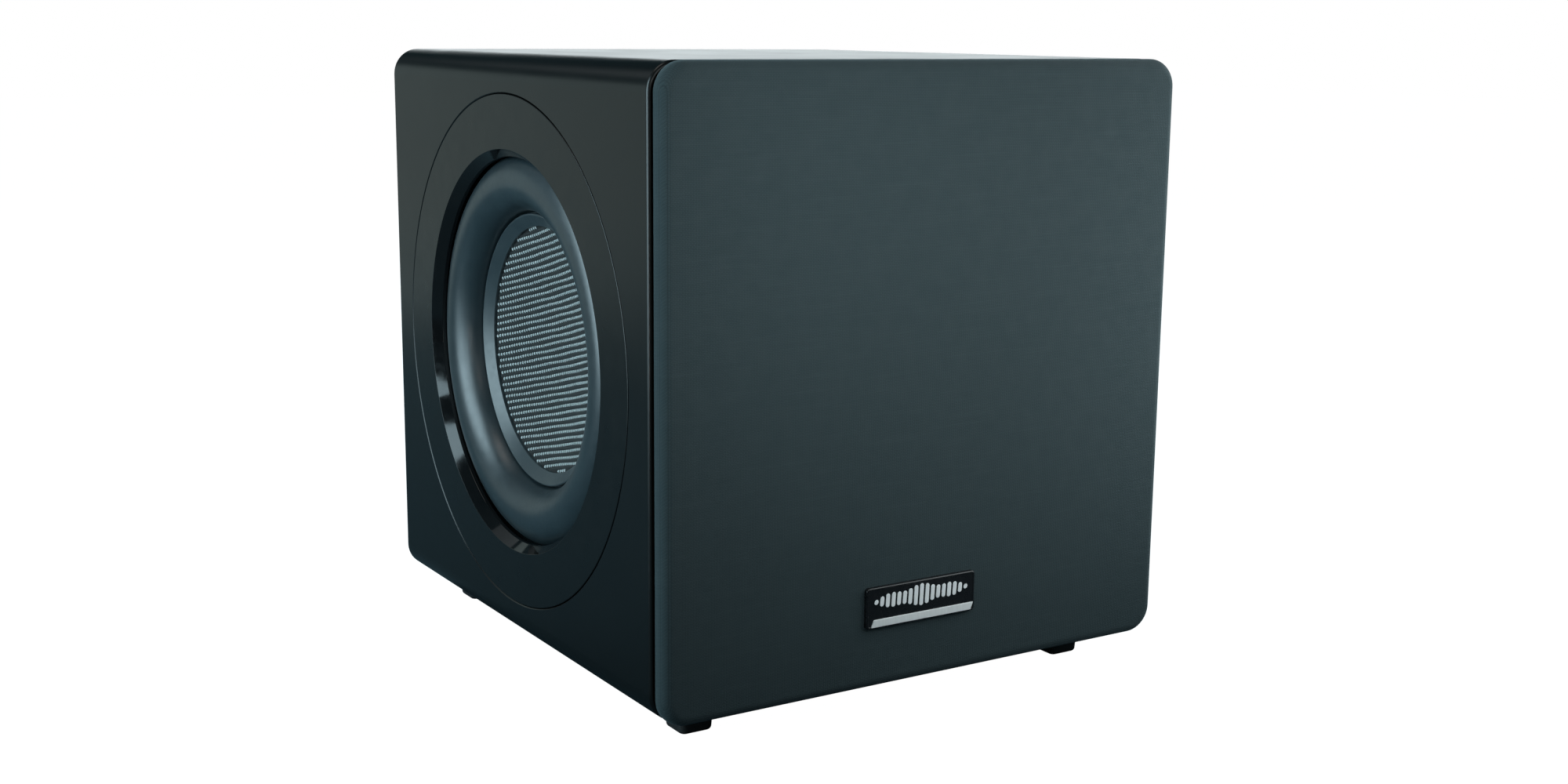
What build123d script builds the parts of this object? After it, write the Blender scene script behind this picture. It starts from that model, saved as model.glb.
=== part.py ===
from build123d import *
from math import copysign, cos, radians, sin, sqrt
import os

# Compact powered subwoofer: a front driver behind a cloth grille, two side radiators and a rear amplifier.
# Millimetres, +Z up, front towards -Y. The origin is on the floor, at the middle of the bounding box.
# Every unit is drawn looking out of its own face: local +Z points out of the cabinet and +Y points up.

# Cabinet
CABINET_W = 233.0
CABINET_H = 236.0
CABINET_D = 237.0
WALL = 15.0
BAFFLE = 18.0
EDGE_R = 11.0
FACE_ROUND = 1.5
FOOT_H = 12.5
FOOT_W = 15.0
FOOT_TAPER = 1.0
FOOT_CORNER = 2.8
FOOT_EDGE = 1.6
FOOT_BORE_R = 3.8
FOOT_BORE_H = 4.0
FOOT_SCREW_R = 1.7
FOOT_INSET_X = 27.2
FOOT_INSET_Y = 20.3

# Grille
GRILLE_GAP = 3.0
GRILLE_T = 6.5
CLOTH_T = 0.6
CLOTH_ROUND = 4.5
GRILLE_WINDOW_R = 80.0
PEG_R = 3.0
PEG_X = 98.0
PEG_Z = 99.5
PEG_LENGTH = 8.0
BADGE_W = 51.0
BADGE_H = 16.2
BADGE_T = 1.6
BADGE_CORNER = 1.5
BADGE_EDGE = 0.5
BADGE_X = -4.9
BADGE_Z = -85.5
STRIP_T = 0.3
STRIP_H = 2.9
STRIP_LEAN = 1.2
STRIP_LEFT = 2.2
STRIP_RIGHT = 0.8
STRIP_FOOT = 0.7
SOCKET_R = 5.0
SOCKET_FLANGE_R = 6.4
SOCKET_FLANGE_H = 1.2
SOCKET_DEPTH = 11.0

# Front driver
DRIVER_R = 83.0
DRIVER_REBATE = 5.0
DRIVER_HOLE_R = 76.0
DRIVER_SCREW_R = 79.3
ROLL_R = 62.5
ROLL_HALF = 7.0
CONE_R = 56.0
COIL_R = 16.4
MAGNET_SEAT = -50.0
MAGNET_R = 50.0
MAGNET_T = 20.0
POLE_PLATE_R = 46.0
POLE_PLATE_T = 6.0
YOKE_T = 7.0
VENT_R = 5.0
DRIVER_LEDGE = -31.0
DRIVER_ROLL_LEVEL = -4.0
CONE_NECK = -28.0
CONE_RISE = 22.0
CAP_R = 24.0
CAP_TOP = -13.0
CAP_T = 0.8

# Screws, clearances and gaskets
HEAD_R = 3.8
SHANK_R = 2.0
HEAD_SINK = 2.2
HEX_R = 1.4
HEX_DEPTH = 1.4
PAN_SHANK_R = 1.5
UNIT_SCREW_L = 15.5
GASKET_T = 1.0
FIT = 0.05
RUNNING = 0.06
CLEAR = 0.3

# Side radiators
TRIM_R = 102.5
TRIM_T = 6.5
TRIM_CHAMFER = 0.4
TRIM_LIP_R = 81.0
TRIM_THROAT_R = 78.0
RADIATOR_REBATE = 10.0
RADIATOR_HOLE_R = 89.0
RADIATOR_SCREW_R = 96.0
RADIATOR_ROLL_R = 68.2
RADIATOR_ROLL_HALF = 12.2
RADIATOR_ROLL_DEPTH = 15.0
RING_OUTER_R = 55.2
RING_INNER_R = 50.0
DISH_TOP = -17.0
DISH_T = 1.0
DISH_SAG = 5.0
HUB_R = 15.0
RADIATOR_LEDGE = -36.0
WEIGHT_R = 26.0
WEIGHT_T = 8.0
HUB_BACK = -40.0
RIB_T = 1.6

# Amplifier
PLATE_W = 165.4
PLATE_H = 195.4
PLATE_T = 3.0
PLATE_CORNER = 7.7
PLATE_SCREW_INSET = 5.0
OPENING_CORNER = 4.0
FIN_COUNT = 8
FIN_STEP = 8.0
FIN_X = -68.0
FIN_Y = -48.0
FIN_W = 2.2
FIN_LENGTH = 66.0
FIN_H = 6.0
OPENING_W = 146.0
OPENING_H = 176.0
ENCLOSURE_W = 140.0
ENCLOSURE_H = 170.0
ENCLOSURE_D = 50.0
SHEET_T = 1.2
BOARD_FACE = -14.0
BOARD_T = 1.6
KNOB_H = 12.0
KNOB_R = 9.0
SHAFT_R = 3.0
VOLUME_X = -48.0
CROSSOVER_X = -8.0
KNOB_Y = 58.0
SWITCH_X = 42.0
PHASE_Y = 68.0
MODE_Y = 46.0
SWITCH_THROW = 2.0
JACK_Y = 14.0
JACK_XS = (-52.0, -28.0)
ROCKER_X = 40.0
ROCKER_Y = 2.0
ROCKER_TILT = 7.0
ROCKER_PIVOT = -2.0
INLET_X = 40.0
INLET_Y = -56.0
INLET_W = 52.0
INLET_H = 42.0
INLET_T = 2.5
INLET_SCREW_X = 22.0
INLET_SCREW_Y = 8.0
DRAWER_Y = -10.5
ROCKER_R = 8.6
ROCKER_PIN_R = 1.5
LED_X = 60.0
LED_Y = 57.0

# Where the faces stand
GRILLE_OUT = GRILLE_GAP + GRILLE_T
TOTAL_D = BADGE_T + STRIP_T + GRILLE_OUT + CABINET_D + KNOB_H
BAFFLE_Y = BADGE_T + STRIP_T + GRILLE_OUT - TOTAL_D / 2
REAR_Y = BAFFLE_Y + CABINET_D
MID_Y = BAFFLE_Y + CABINET_D / 2
MID_Z = FOOT_H + CABINET_H / 2
FRONT = Plane(origin=(0, BAFFLE_Y, MID_Z), x_dir=(1, 0, 0), z_dir=(0, -1, 0)).location
REAR = Plane(origin=(0, REAR_Y, MID_Z), x_dir=(-1, 0, 0), z_dir=(0, 1, 0)).location
LEFT = Plane(origin=(-CABINET_W / 2, MID_Y, MID_Z), x_dir=(0, -1, 0), z_dir=(-1, 0, 0)).location
RIGHT = Plane(origin=(CABINET_W / 2, MID_Y, MID_Z), x_dir=(0, 1, 0), z_dir=(1, 0, 0)).location
SIDES = {"left": LEFT, "right": RIGHT}

nodes = {}


def keep(name, *solids):
    """File one node: a single solid or a group of separate ones."""
    loose = [solid for item in solids for solid in item.solids()]
    nodes[name] = loose[0] if len(loose) == 1 else Compound(children=loose)


def disc(radius, low, high):
    return Pos(0, 0, low) * Cylinder(radius, high - low, align=(Align.CENTER, Align.CENTER, Align.MIN))


def ring(outer, inner, low, high):
    return disc(outer, low, high) - disc(inner, low - 1, high + 1)


def slab(width, height, low, high, corner=0.0):
    outline = RectangleRounded(width, height, corner) if corner else Rectangle(width, height)
    return Pos(0, 0, low) * extrude(outline, high - low)


def turned(*outline):
    """A solid of revolution about local Z, from an outline of (radius, height) points."""
    face = Plane.XZ * make_face(Polyline(*outline, close=True))
    return revolve(face, Axis.Z)


def bowl(edge_r, edge_z, middle_z):
    """A circular arc from the axis at middle_z, square to it, out to (edge_r, edge_z)."""
    rise = edge_z - middle_z
    big = (edge_r ** 2 + rise ** 2) / (2 * rise)
    half = edge_r / 2
    half_z = middle_z + big - copysign(sqrt(big ** 2 - half ** 2), big)
    return ThreePointArc((0, middle_z), (half, half_z), (edge_r, edge_z))


def around(count, radius, start=0.0):
    turns = [radians(start + 360 * i / count) for i in range(count)]
    return [Pos(radius * cos(t), radius * sin(t), 0) for t in turns]


def windows(count, start, width, outer, inner, low, high):
    """Wide openings between the legs of a basket, as a cutting solid."""
    reach = outer * 1.3
    cuts = []
    for i in range(count):
        a = radians(start + 360 * i / count - width / 2)
        b = radians(start + 360 * i / count + width / 2)
        corners = [(0, 0), (reach * cos(a), reach * sin(a)), (reach * cos(b), reach * sin(b))]
        wedge = Polyline(*corners, close=True)
        cuts.append(Pos(0, 0, low) * extrude(make_face(wedge), high - low))
    return [ring(outer, inner, low, high) & cut for cut in cuts]


def pleats(inner, outer, level, count, height, thickness):
    """A corrugated spider: evenly spaced pleats between a neck and a flat rim."""
    step = (outer - inner) / (2 * count)
    ridge = [(inner + i * step, level + (height if i % 2 else 0)) for i in range(2 * count + 1)]
    under = [(r, z - thickness) for r, z in reversed(ridge)]
    return ridge, under


def screw(length):
    """A countersunk screw whose head is level with local Z = 0, with a hexagon socket."""
    body = turned((0, 0), (HEAD_R, 0), (SHANK_R, -HEAD_SINK), (SHANK_R, 1 - length), (0.4, -length),
                  (0, -length))
    return body - Pos(0, 0, -HEX_DEPTH) * extrude(RegularPolygon(HEX_R, 6), 2)


def screw_hole():
    wide = HEAD_R + 0.1
    narrow = SHANK_R + 0.1
    return turned((0, 1), (wide, 1), (wide, 0), (narrow, -HEAD_SINK), (narrow, -30), (0, -30))


def pan_screw(length, head_r=3.2, head_h=2.0):
    """A pan-headed screw that stands on local Z = 0, with a cross slot."""
    body = turned((0, head_h), (head_r * 0.8, head_h), (head_r, head_h * 0.5), (head_r, 0), (PAN_SHANK_R, 0),
                  (PAN_SHANK_R, 1 - length), (0.3, -length), (0, -length))
    return body - Pos(0, 0, head_h - 1) * (Box(3.4, 0.9, 2) + Box(0.9, 3.4, 2))


# ---------------------------------------------------------------- cabinet

def foot_spots():
    y_front = BAFFLE_Y + FOOT_INSET_Y
    y_rear = REAR_Y - FOOT_INSET_Y
    x = CABINET_W / 2 - FOOT_INSET_X
    return [Pos(sx * x, y, 0) for sx in (-1, 1) for y in (y_front, y_rear)]


def plate_screw_spots():
    x = PLATE_W / 2 - PLATE_SCREW_INSET
    y = PLATE_H / 2 - PLATE_SCREW_INSET
    sides = [Pos(sx * x, sy * y, 0) for sx in (-1, 1) for sy in (-1, -1 / 3, 1 / 3, 1)]
    return sides + [Pos(0, sy * y, 0) for sy in (-1, 1)]


def peg_spots():
    return [Pos(sx * PEG_X, sy * PEG_Z, 0) for sx in (-1, 1) for sy in (-1, 1)]


def cabinet_shell():
    box = slab(CABINET_W, CABINET_H, -CABINET_D, 0, EDGE_R)
    faces = box.faces().sort_by(Axis.Z)
    box = fillet(faces[0].edges() + faces[-1].edges(), FACE_ROUND)
    box -= slab(CABINET_W - 2 * WALL, CABINET_H - 2 * WALL, WALL - CABINET_D, -BAFFLE)
    box -= disc(DRIVER_R + CLEAR, -DRIVER_REBATE, 1)
    box -= disc(DRIVER_HOLE_R, -BAFFLE - 1, 1)
    for spot in peg_spots():
        box -= spot * disc(SOCKET_R + FIT, -SOCKET_DEPTH - 0.1, 1)
    for spot in around(6, DRIVER_SCREW_R, 30):
        box -= spot * disc(SHANK_R + FIT, -UNIT_SCREW_L - 1, 1)
    box = FRONT * box
    cut = disc(TRIM_R + CLEAR, -RADIATOR_REBATE, 1)
    mouth = TRIM_R + CLEAR + TRIM_CHAMFER
    cut += turned((0, 1), (mouth, 1), (mouth, 0), (TRIM_R + CLEAR, -TRIM_CHAMFER), (0, -TRIM_CHAMFER))
    cut += disc(RADIATOR_HOLE_R, -WALL - 1, 0)
    for spot in around(6, RADIATOR_SCREW_R, 30):
        cut += spot * disc(SHANK_R + FIT, -14.7, 0)
    for side in SIDES.values():
        box -= side * cut
    rear_cut = slab(PLATE_W + 2 * CLEAR, PLATE_H + 2 * CLEAR, -PLATE_T - GASKET_T, 1, PLATE_CORNER + CLEAR)
    rear_cut += slab(OPENING_W, OPENING_H, -WALL - 1, 0, OPENING_CORNER)
    for spot in plate_screw_spots():
        rear_cut += spot * disc(PAN_SHANK_R + FIT, -14.2, 0)
    box -= REAR * rear_cut
    for spot in foot_spots():
        box -= spot * disc(PAN_SHANK_R + FIT, FOOT_H - 1, FOOT_H + 12.2)
    return box


def wadding():
    width = 150.0
    length = 168.0
    thick = 8.0
    high = CABINET_H / 2 - WALL - thick / 2
    pad = fillet(Box(width, length, thick).edges().filter_by(Axis.Z), 6)
    y = MID_Y - 2
    return [Pos(0, y, MID_Z + side * high) * pad for side in (-1, 1)]


def foot():
    """A square rubber foot that tapers down to its rounded sole, bored for its screw."""
    sole = RectangleRounded(FOOT_W - FOOT_TAPER, FOOT_W - FOOT_TAPER, FOOT_CORNER)
    head = Pos(0, 0, FOOT_H) * RectangleRounded(FOOT_W, FOOT_W, FOOT_CORNER)
    block = loft([sole, head])
    block = fillet(block.faces().sort_by(Axis.Z)[0].edges(), FOOT_EDGE)
    return block - disc(FOOT_BORE_R, -1, FOOT_BORE_H) - disc(FOOT_SCREW_R, -1, FOOT_H + 1)


def make_cabinet():
    keep("cabinet_shell", cabinet_shell())
    keep("acoustic_wadding", *wadding())
    keep("rubber_feet", *[spot * foot() for spot in foot_spots()])
    foot_screw = Pos(0, 0, FOOT_BORE_H) * Rot(180, 0, 0) * pan_screw(20, 3.2, 1.8)
    keep("foot_screws", *[spot * foot_screw for spot in foot_spots()])
    driver_seal = ring(DRIVER_R - 0.2, DRIVER_HOLE_R + 0.5, -DRIVER_REBATE, GASKET_T - DRIVER_REBATE)
    for spot in around(6, DRIVER_SCREW_R, 30):
        driver_seal -= spot * disc(SHANK_R + 0.2, -6, 0)
    side_seal = ring(101.3, 90.0, -RADIATOR_REBATE, GASKET_T - RADIATOR_REBATE)
    for spot in around(6, RADIATOR_SCREW_R, 30):
        side_seal -= spot * disc(SHANK_R + 0.2, -11, 0)
    plate_seal = slab(PLATE_W - 1, PLATE_H - 1, -PLATE_T - GASKET_T, -PLATE_T, PLATE_CORNER - 0.2)
    plate_seal -= slab(OPENING_W + 1, OPENING_H + 1, -PLATE_T - 2, 0, OPENING_CORNER)
    for spot in plate_screw_spots():
        plate_seal -= spot * disc(PAN_SHANK_R + 0.2, -5, 0)
    keep("foam_gaskets", FRONT * driver_seal, *[s * side_seal for s in SIDES.values()], REAR * plate_seal)
    long_screws = [FRONT * spot * screw(UNIT_SCREW_L) for spot in around(6, DRIVER_SCREW_R, 30)]
    short = Pos(0, 0, -TRIM_T) * screw(8)
    side_spots = around(6, RADIATOR_SCREW_R, 30)
    short_screws = [side * spot * short for side in SIDES.values() for spot in side_spots]
    keep("unit_screws", *long_screws, *short_screws)


# ---------------------------------------------------------------- grille

def grille_block(inset):
    """The panel with rounded front edges, shrunk by an inset all round and at the front."""
    top = GRILLE_OUT - inset
    block = slab(CABINET_W - 2 * inset, CABINET_H - 2 * inset, GRILLE_GAP, top, EDGE_R - inset)
    front = block.faces().sort_by(Axis.Z)[-1]
    return fillet(front.edges(), CLOTH_ROUND - inset)


def grille_frame():
    block = grille_block(CLOTH_T)
    block -= disc(GRILLE_WINDOW_R, GRILLE_GAP - 1, GRILLE_OUT)
    block -= turned((0, GRILLE_GAP - 1), (GRILLE_WINDOW_R + 2, GRILLE_GAP - 1),
                    (GRILLE_WINDOW_R + 2, GRILLE_GAP), (GRILLE_WINDOW_R, GRILLE_GAP + 2), (0, GRILLE_GAP + 2))
    peg = turned((0, GRILLE_GAP + 1), (PEG_R, GRILLE_GAP + 1), (PEG_R, 1 - PEG_LENGTH),
                 (PEG_R - 1, -PEG_LENGTH), (0, -PEG_LENGTH))
    for spot in peg_spots():
        block += spot * peg
    return block


def make_grille():
    keep("grille_frame", FRONT * grille_frame())
    inner = grille_block(CLOTH_T)
    inner += slab(CABINET_W - 2 * CLOTH_T, CABINET_H - 2 * CLOTH_T, 0, GRILLE_GAP + 0.1, EDGE_R - CLOTH_T)
    keep("grille_cloth", FRONT * (grille_block(0) - inner))
    socket = ring(SOCKET_R, PEG_R + RUNNING, 1 - SOCKET_DEPTH, 0)
    socket += ring(SOCKET_FLANGE_R, PEG_R + RUNNING, 0, SOCKET_FLANGE_H)
    socket += disc(SOCKET_R, -SOCKET_DEPTH, 1 - SOCKET_DEPTH)
    keep("grille_sockets", *[FRONT * spot * socket for spot in peg_spots()])
    plate = slab(BADGE_W, BADGE_H, GRILLE_OUT, GRILLE_OUT + BADGE_T, BADGE_CORNER)
    plate = fillet(plate.faces().sort_by(Axis.Z)[-1].edges(), BADGE_EDGE)
    keep("badge_plate", FRONT * Pos(BADGE_X, BADGE_Z, 0) * plate)
    left = STRIP_LEFT - BADGE_W / 2
    right = BADGE_W / 2 - STRIP_RIGHT
    low = STRIP_FOOT - BADGE_H / 2
    high = low + STRIP_H
    corners = [(left, low), (right - STRIP_LEAN, low), (right, high), (left + STRIP_LEAN, high)]
    outline = Polyline(*corners, close=True)
    top = GRILLE_OUT + BADGE_T
    strip = Pos(BADGE_X, BADGE_Z, top) * extrude(make_face(outline), STRIP_T)
    keep("badge_strip", FRONT * strip)


# ---------------------------------------------------------------- front driver

def cone_height(radius):
    """Top surface of the paper cone, from its neck on the former to its flat rim."""
    share = (radius - COIL_R) / (CONE_R - 5 - COIL_R)
    return CONE_NECK + CONE_RISE * share


def driver_frame():
    body = turned((DRIVER_R, 0), (DRIVER_R, -4), (75.5, -4), (75.5, -7), (48.5, -46), (48.5, MAGNET_SEAT),
                  (20, MAGNET_SEAT), (20, -46.5), (46.3, -46.5), (71, -8), (69, -7), (69, -5), (73.5, -5),
                  (73.5, 0))
    for cut in windows(6, 0, 44, 76, 40, -45, -8.5):
        body -= cut
    body += ring(57, 44, DRIVER_LEDGE - 2, DRIVER_LEDGE)
    body += Pos(0, -66.5, -21) * Box(15, 7, 9)
    for spot in around(6, DRIVER_SCREW_R, 30):
        body -= spot * screw_hole()
    return body


def half_roll(centre, half, level, skin, outer_lip, inner_lip):
    """A rubber surround: a half-round roll, with a glue lip 1 mm below its level outside and 2 mm inside."""
    outer = centre + half
    inner = centre - half
    shape = Polyline((outer - skin, level), (outer - skin, level - 1), (outer_lip, level - 1),
                     (outer_lip, level), (outer, level))
    shape += ThreePointArc((outer, level), (centre, level + half), (inner, level))
    shape += Polyline((inner, level), (inner, level - 1), (inner_lip, level - 1), (inner_lip, level - 2),
                      (inner + skin, level - 2), (inner + skin, level))
    shape += ThreePointArc((inner + skin, level), (centre, level + half - skin), (outer - skin, level))
    return revolve(Plane.XZ * make_face(shape), Axis.Z)


def driver_cone():
    rim = CONE_R - 5
    return turned((COIL_R, cone_height(COIL_R)), (rim, -6), (CONE_R - 0.7, -6), (CONE_R - 0.7, -7),
                  (rim, -7.2), (COIL_R, cone_height(COIL_R) - 1.2))


def dust_cap():
    foot_z = cone_height(CAP_R) + 0.1
    under = CAP_TOP - CAP_T
    shape = bowl(CAP_R, foot_z, CAP_TOP) + bowl(CAP_R - 1, foot_z, under)
    shape += Line((CAP_R, foot_z), (CAP_R - 1, foot_z)) + Line((0, under), (0, CAP_TOP))
    return revolve(Plane.XZ * make_face(shape), Axis.Z)


def driver_spider():
    ridge, under = pleats(18, 44, DRIVER_LEDGE + 0.6, 6, 1.6, 0.6)
    level = DRIVER_LEDGE
    return turned((COIL_R, level + 0.6), *ridge, (53, level + 0.6), (53, level), *under, (COIL_R, level))


def terminal_board():
    board = Pos(0, -71.2, -21) * Box(28, 2.4, 10)
    for side in (-1, 1):
        board += Pos(side * 11.5, -73.4, -21) * Box(4.8, 2.4, 6)
    return board


def braid(side):
    """One flexible lead from the terminal board to the cone, in a single slack arc."""
    reach = 36.0
    end_z = cone_height(reach) - 2.2
    arc = ThreePointArc((side * 11.5, -69.6, -20), (side * 11, -53, -26), (side * 9, -reach + 1, end_z))
    return sweep(Plane(arc @ 0, z_dir=arc % 0) * Circle(0.6), arc)


def make_driver():
    keep("driver_frame", FRONT * driver_frame())
    roll = half_roll(ROLL_R, ROLL_HALF, DRIVER_ROLL_LEVEL, 1.0, 73.4, 50.9)
    keep("driver_surround", FRONT * roll)
    keep("driver_cone", FRONT * driver_cone())
    keep("driver_dust_cap", FRONT * dust_cap())
    keep("voice_coil_former", FRONT * ring(COIL_R, COIL_R - 0.4, -62, -27))
    keep("voice_coil", FRONT * ring(COIL_R + 0.6, COIL_R, -60, -46))
    keep("driver_spider", FRONT * driver_spider())
    plate_back = MAGNET_SEAT - POLE_PLATE_T
    magnet_back = plate_back - MAGNET_T
    keep("driver_top_plate", FRONT * ring(POLE_PLATE_R, COIL_R + 1, plate_back, MAGNET_SEAT))
    keep("driver_magnet", FRONT * ring(MAGNET_R, 24, magnet_back, plate_back))
    yoke = disc(POLE_PLATE_R, magnet_back - YOKE_T, magnet_back)
    yoke += disc(COIL_R - 0.8, magnet_back - 1, MAGNET_SEAT + 1)
    yoke -= disc(VENT_R, magnet_back - YOKE_T - 1, MAGNET_SEAT + 2)
    keep("driver_yoke", FRONT * yoke)
    keep("driver_terminal", FRONT * terminal_board())
    keep("driver_braids", *[FRONT * braid(side) for side in (-1, 1)])


# ---------------------------------------------------------------- side radiators

def radiator_frame():
    level = -RADIATOR_ROLL_DEPTH - 1
    body = turned((101.5, -TRIM_T), (101.5, -9), (88.4, -9), (88.4, -18.5), (52.5, -39), (44, -39),
                  (44, RADIATOR_LEDGE), (50, RADIATOR_LEDGE), (81, -18.5), (79, -18.5), (79, level),
                  (86, level), (86, -TRIM_T))
    for cut in windows(6, 0, 42, 89, 52.8, -39.5, -18.6):
        body -= cut
    for spot in around(6, RADIATOR_SCREW_R, 30):
        body -= Pos(0, 0, -TRIM_T) * spot * screw_hole()
    return body


def landing_ring():
    """The sloping ring that covers the joint between roll and dish, in to its thin inner lip."""
    return turned((RING_OUTER_R, -12.9), (RING_OUTER_R, -16), (RING_INNER_R, -16), (RING_INNER_R, -15.7),
                  (RING_OUTER_R - 0.4, -12.5))


def dish():
    """The woven skin: a flat rim under the roll's inner lip, then a shallow bowl."""
    rim = RING_INNER_R
    under = DISH_TOP - DISH_T
    shape = bowl(rim, DISH_TOP, DISH_TOP - DISH_SAG) + bowl(rim, under, under - DISH_SAG)
    shape += Polyline((rim, DISH_TOP), (RING_OUTER_R, DISH_TOP), (RING_OUTER_R, under), (rim, under))
    shape += Line((0, DISH_TOP - DISH_T - DISH_SAG), (0, DISH_TOP - DISH_SAG))
    return revolve(Plane.XZ * make_face(shape), Axis.Z)


def hub():
    """The moulded hub, ribbed out to the dish, that carries the spider and the tuning weight."""
    rim = RING_INNER_R
    under = DISH_TOP - DISH_T
    sky = bowl(rim, under, under - DISH_SAG)
    sky += Polyline((rim, under), (rim, -10), (0, -10), (0, under - DISH_SAG))
    body = ring(HUB_R, 8, HUB_BACK, -10)
    for i in range(6):
        rib = Polyline((HUB_R - 1, -33), (HUB_R - 1, -10), (44, -10), (44, -20), close=True)
        rib = extrude(Plane.XZ * make_face(rib), RIB_T)
        body += Rot(0, 0, 60 * i + 30) * Pos(0, RIB_T / 2, 0) * rib
    body += disc(8.5, HUB_BACK + 6, HUB_BACK + 10)
    return body - revolve(Plane.XZ * make_face(sky), Axis.Z)


def radiator_spider():
    level = RADIATOR_LEDGE
    ridge, under = pleats(18, 43.5, level + 0.6, 5, 2.0, 0.6)
    return turned((HUB_R, level + 0.6), *ridge, (50, level + 0.6), (50, level), *under, (HUB_R, level))


def make_radiator(name, side):
    throat = 1 - TRIM_T
    trim = turned((TRIM_R, -TRIM_CHAMFER), (TRIM_R, -TRIM_T), (88, -TRIM_T), (88, throat),
                  (TRIM_THROAT_R, throat), (TRIM_THROAT_R, -4), (TRIM_LIP_R, 0), (TRIM_R - TRIM_CHAMFER, 0))
    keep(f"{name}_trim_ring", side * trim)
    keep(f"{name}_radiator_frame", side * radiator_frame())
    roll = half_roll(RADIATOR_ROLL_R, RADIATOR_ROLL_HALF, -RADIATOR_ROLL_DEPTH, 1.2, 85.8, RING_INNER_R)
    keep(f"{name}_radiator_surround", side * roll)
    keep(f"{name}_radiator_ring", side * landing_ring())
    keep(f"{name}_radiator_dish", side * dish())
    keep(f"{name}_radiator_hub", side * hub())
    keep(f"{name}_radiator_spider", side * radiator_spider())
    weight_back = HUB_BACK - WEIGHT_T
    weight = ring(WEIGHT_R, 3.1, weight_back, HUB_BACK)
    bolt = disc(6, weight_back - 4, weight_back) + disc(3, weight_back - 1, HUB_BACK + 6)
    keep(f"{name}_radiator_weight", side * weight, side * bolt)


# ---------------------------------------------------------------- rear amplifier

def amp_plate():
    plate = slab(PLATE_W, PLATE_H, -PLATE_T, 0, PLATE_CORNER)
    plate = chamfer(plate.faces().sort_by(Axis.Z)[-1].edges(), 0.5)
    for i in range(FIN_COUNT):
        fin = Pos(FIN_X + FIN_STEP * i, FIN_Y, 0) * slab(FIN_W, FIN_LENGTH, -0.5, FIN_H)
        plate += fillet(fin.faces().sort_by(Axis.Z)[-1].edges().filter_by(Axis.Y), 0.9)
    for spot in plate_screw_spots():
        plate -= spot * disc(1.7, -4, 7)
    for x in (VOLUME_X, CROSSOVER_X):
        plate -= Pos(x, KNOB_Y, 0) * disc(4.2, -4, 1)
    for y in (PHASE_Y, MODE_Y):
        plate -= Pos(SWITCH_X, y, 0) * slab(8.6, 4, -4, 1, 0.6)
    for x in JACK_XS:
        plate -= Pos(x, JACK_Y, 0) * disc(4.4, -4, 1)
    plate -= Pos(ROCKER_X, ROCKER_Y, 0) * slab(27.6, 22.6, -4, 1)
    plate -= Pos(INLET_X, INLET_Y, 0) * slab(34.6, 38.6, -4, 1)
    plate -= Pos(LED_X, LED_Y, 0) * disc(1.8, -4, 1)
    for side in (-1, 1):
        plate -= Pos(INLET_X + side * INLET_SCREW_X, INLET_Y + INLET_SCREW_Y, 0) * disc(1.6, -4, 1)
    return plate


def enclosure():
    box = slab(ENCLOSURE_W, ENCLOSURE_H, -PLATE_T - ENCLOSURE_D, -PLATE_T, 3)
    box -= slab(ENCLOSURE_W - 2 * SHEET_T, ENCLOSURE_H - 2 * SHEET_T, SHEET_T - PLATE_T - ENCLOSURE_D, 0, 2)
    return box - Pos(0, -70, 0) * slab(9, 5, -60, -40, 2)


def rear_board():
    board = Pos(0, 36, 0) * slab(126, 92, BOARD_FACE - BOARD_T, BOARD_FACE)
    for sx in (-1, 1):
        for sy in (-1, 1):
            board -= Pos(sx * 58, 36 + sy * 41, 0) * disc(1.6, -20, 0)
    return board - Pos(ROCKER_X, ROCKER_Y, 0) * slab(31, 26, -20, 0)


def board_parts():
    back = BOARD_FACE - BOARD_T
    big = disc(9, back - 26, back)
    small = disc(4, back - 12, back)
    tall = [Pos(x, 62, 0) * big for x in (-45, -24)]
    short = [Pos(x, 32, 0) * small for x in (-50, -38, -26)]
    return tall + short


def transformer():
    back = BOARD_FACE - BOARD_T
    core = Pos(26, 50, back - 13) * Box(34, 26, 26)
    core -= Pos(26, 50, back - 13) * (Box(24, 40, 16) - Box(10, 40, 30))
    winding = Pos(26, 50, back - 13) * (Box(23, 34, 15) - Box(10.4, 26.4, 40))
    return [core, winding]


def knob():
    body = turned((0, 0.6), (KNOB_R, 0.6), (KNOB_R, 2.6), (KNOB_R - 0.6, 3.2), (KNOB_R - 1, KNOB_H - 0.8),
                  (KNOB_R - 1.8, KNOB_H), (0, KNOB_H))
    body -= Pos(0, KNOB_R / 2 + 0.6, KNOB_H) * Box(1, KNOB_R, 1)
    return body + disc(SHAFT_R, -11, 1)


def slide_lever():
    return Box(5, 3.8, 3) + Pos(0, 0, 6) * Box(3, 3, 10)


def slide_switch():
    body = slab(14, 8, BOARD_FACE, -PLATE_T)
    body -= slab(10.6, 4.4, -11, -6.5)
    return body - slab(8.6, 3.6, -8, 0)


def rocker():
    body = Box(24, 18, 10.4) & Rot(0, 90, 0) * Cylinder(ROCKER_R, 24)
    face = Polyline((-9, 4.5), (0, 3.4), (9, 4.5), (9, 9), (-9, 9), close=True)
    body -= Plane.YZ * Pos(0, 0, -15) * extrude(make_face(face), 30)
    return body + Rot(0, 90, 0) * Cylinder(ROCKER_PIN_R, 26.2)


def rocker_bezel():
    bezel = slab(30, 25, 0, 1.5, 2) + slab(27, 22, BOARD_FACE - 4, 0)
    bezel -= slab(24.6, 17.9, BOARD_FACE - 2, 2)
    return bezel - Pos(0, 0, ROCKER_PIVOT) * Rot(0, 90, 0) * Cylinder(ROCKER_PIN_R + RUNNING, 26.6)


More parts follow.
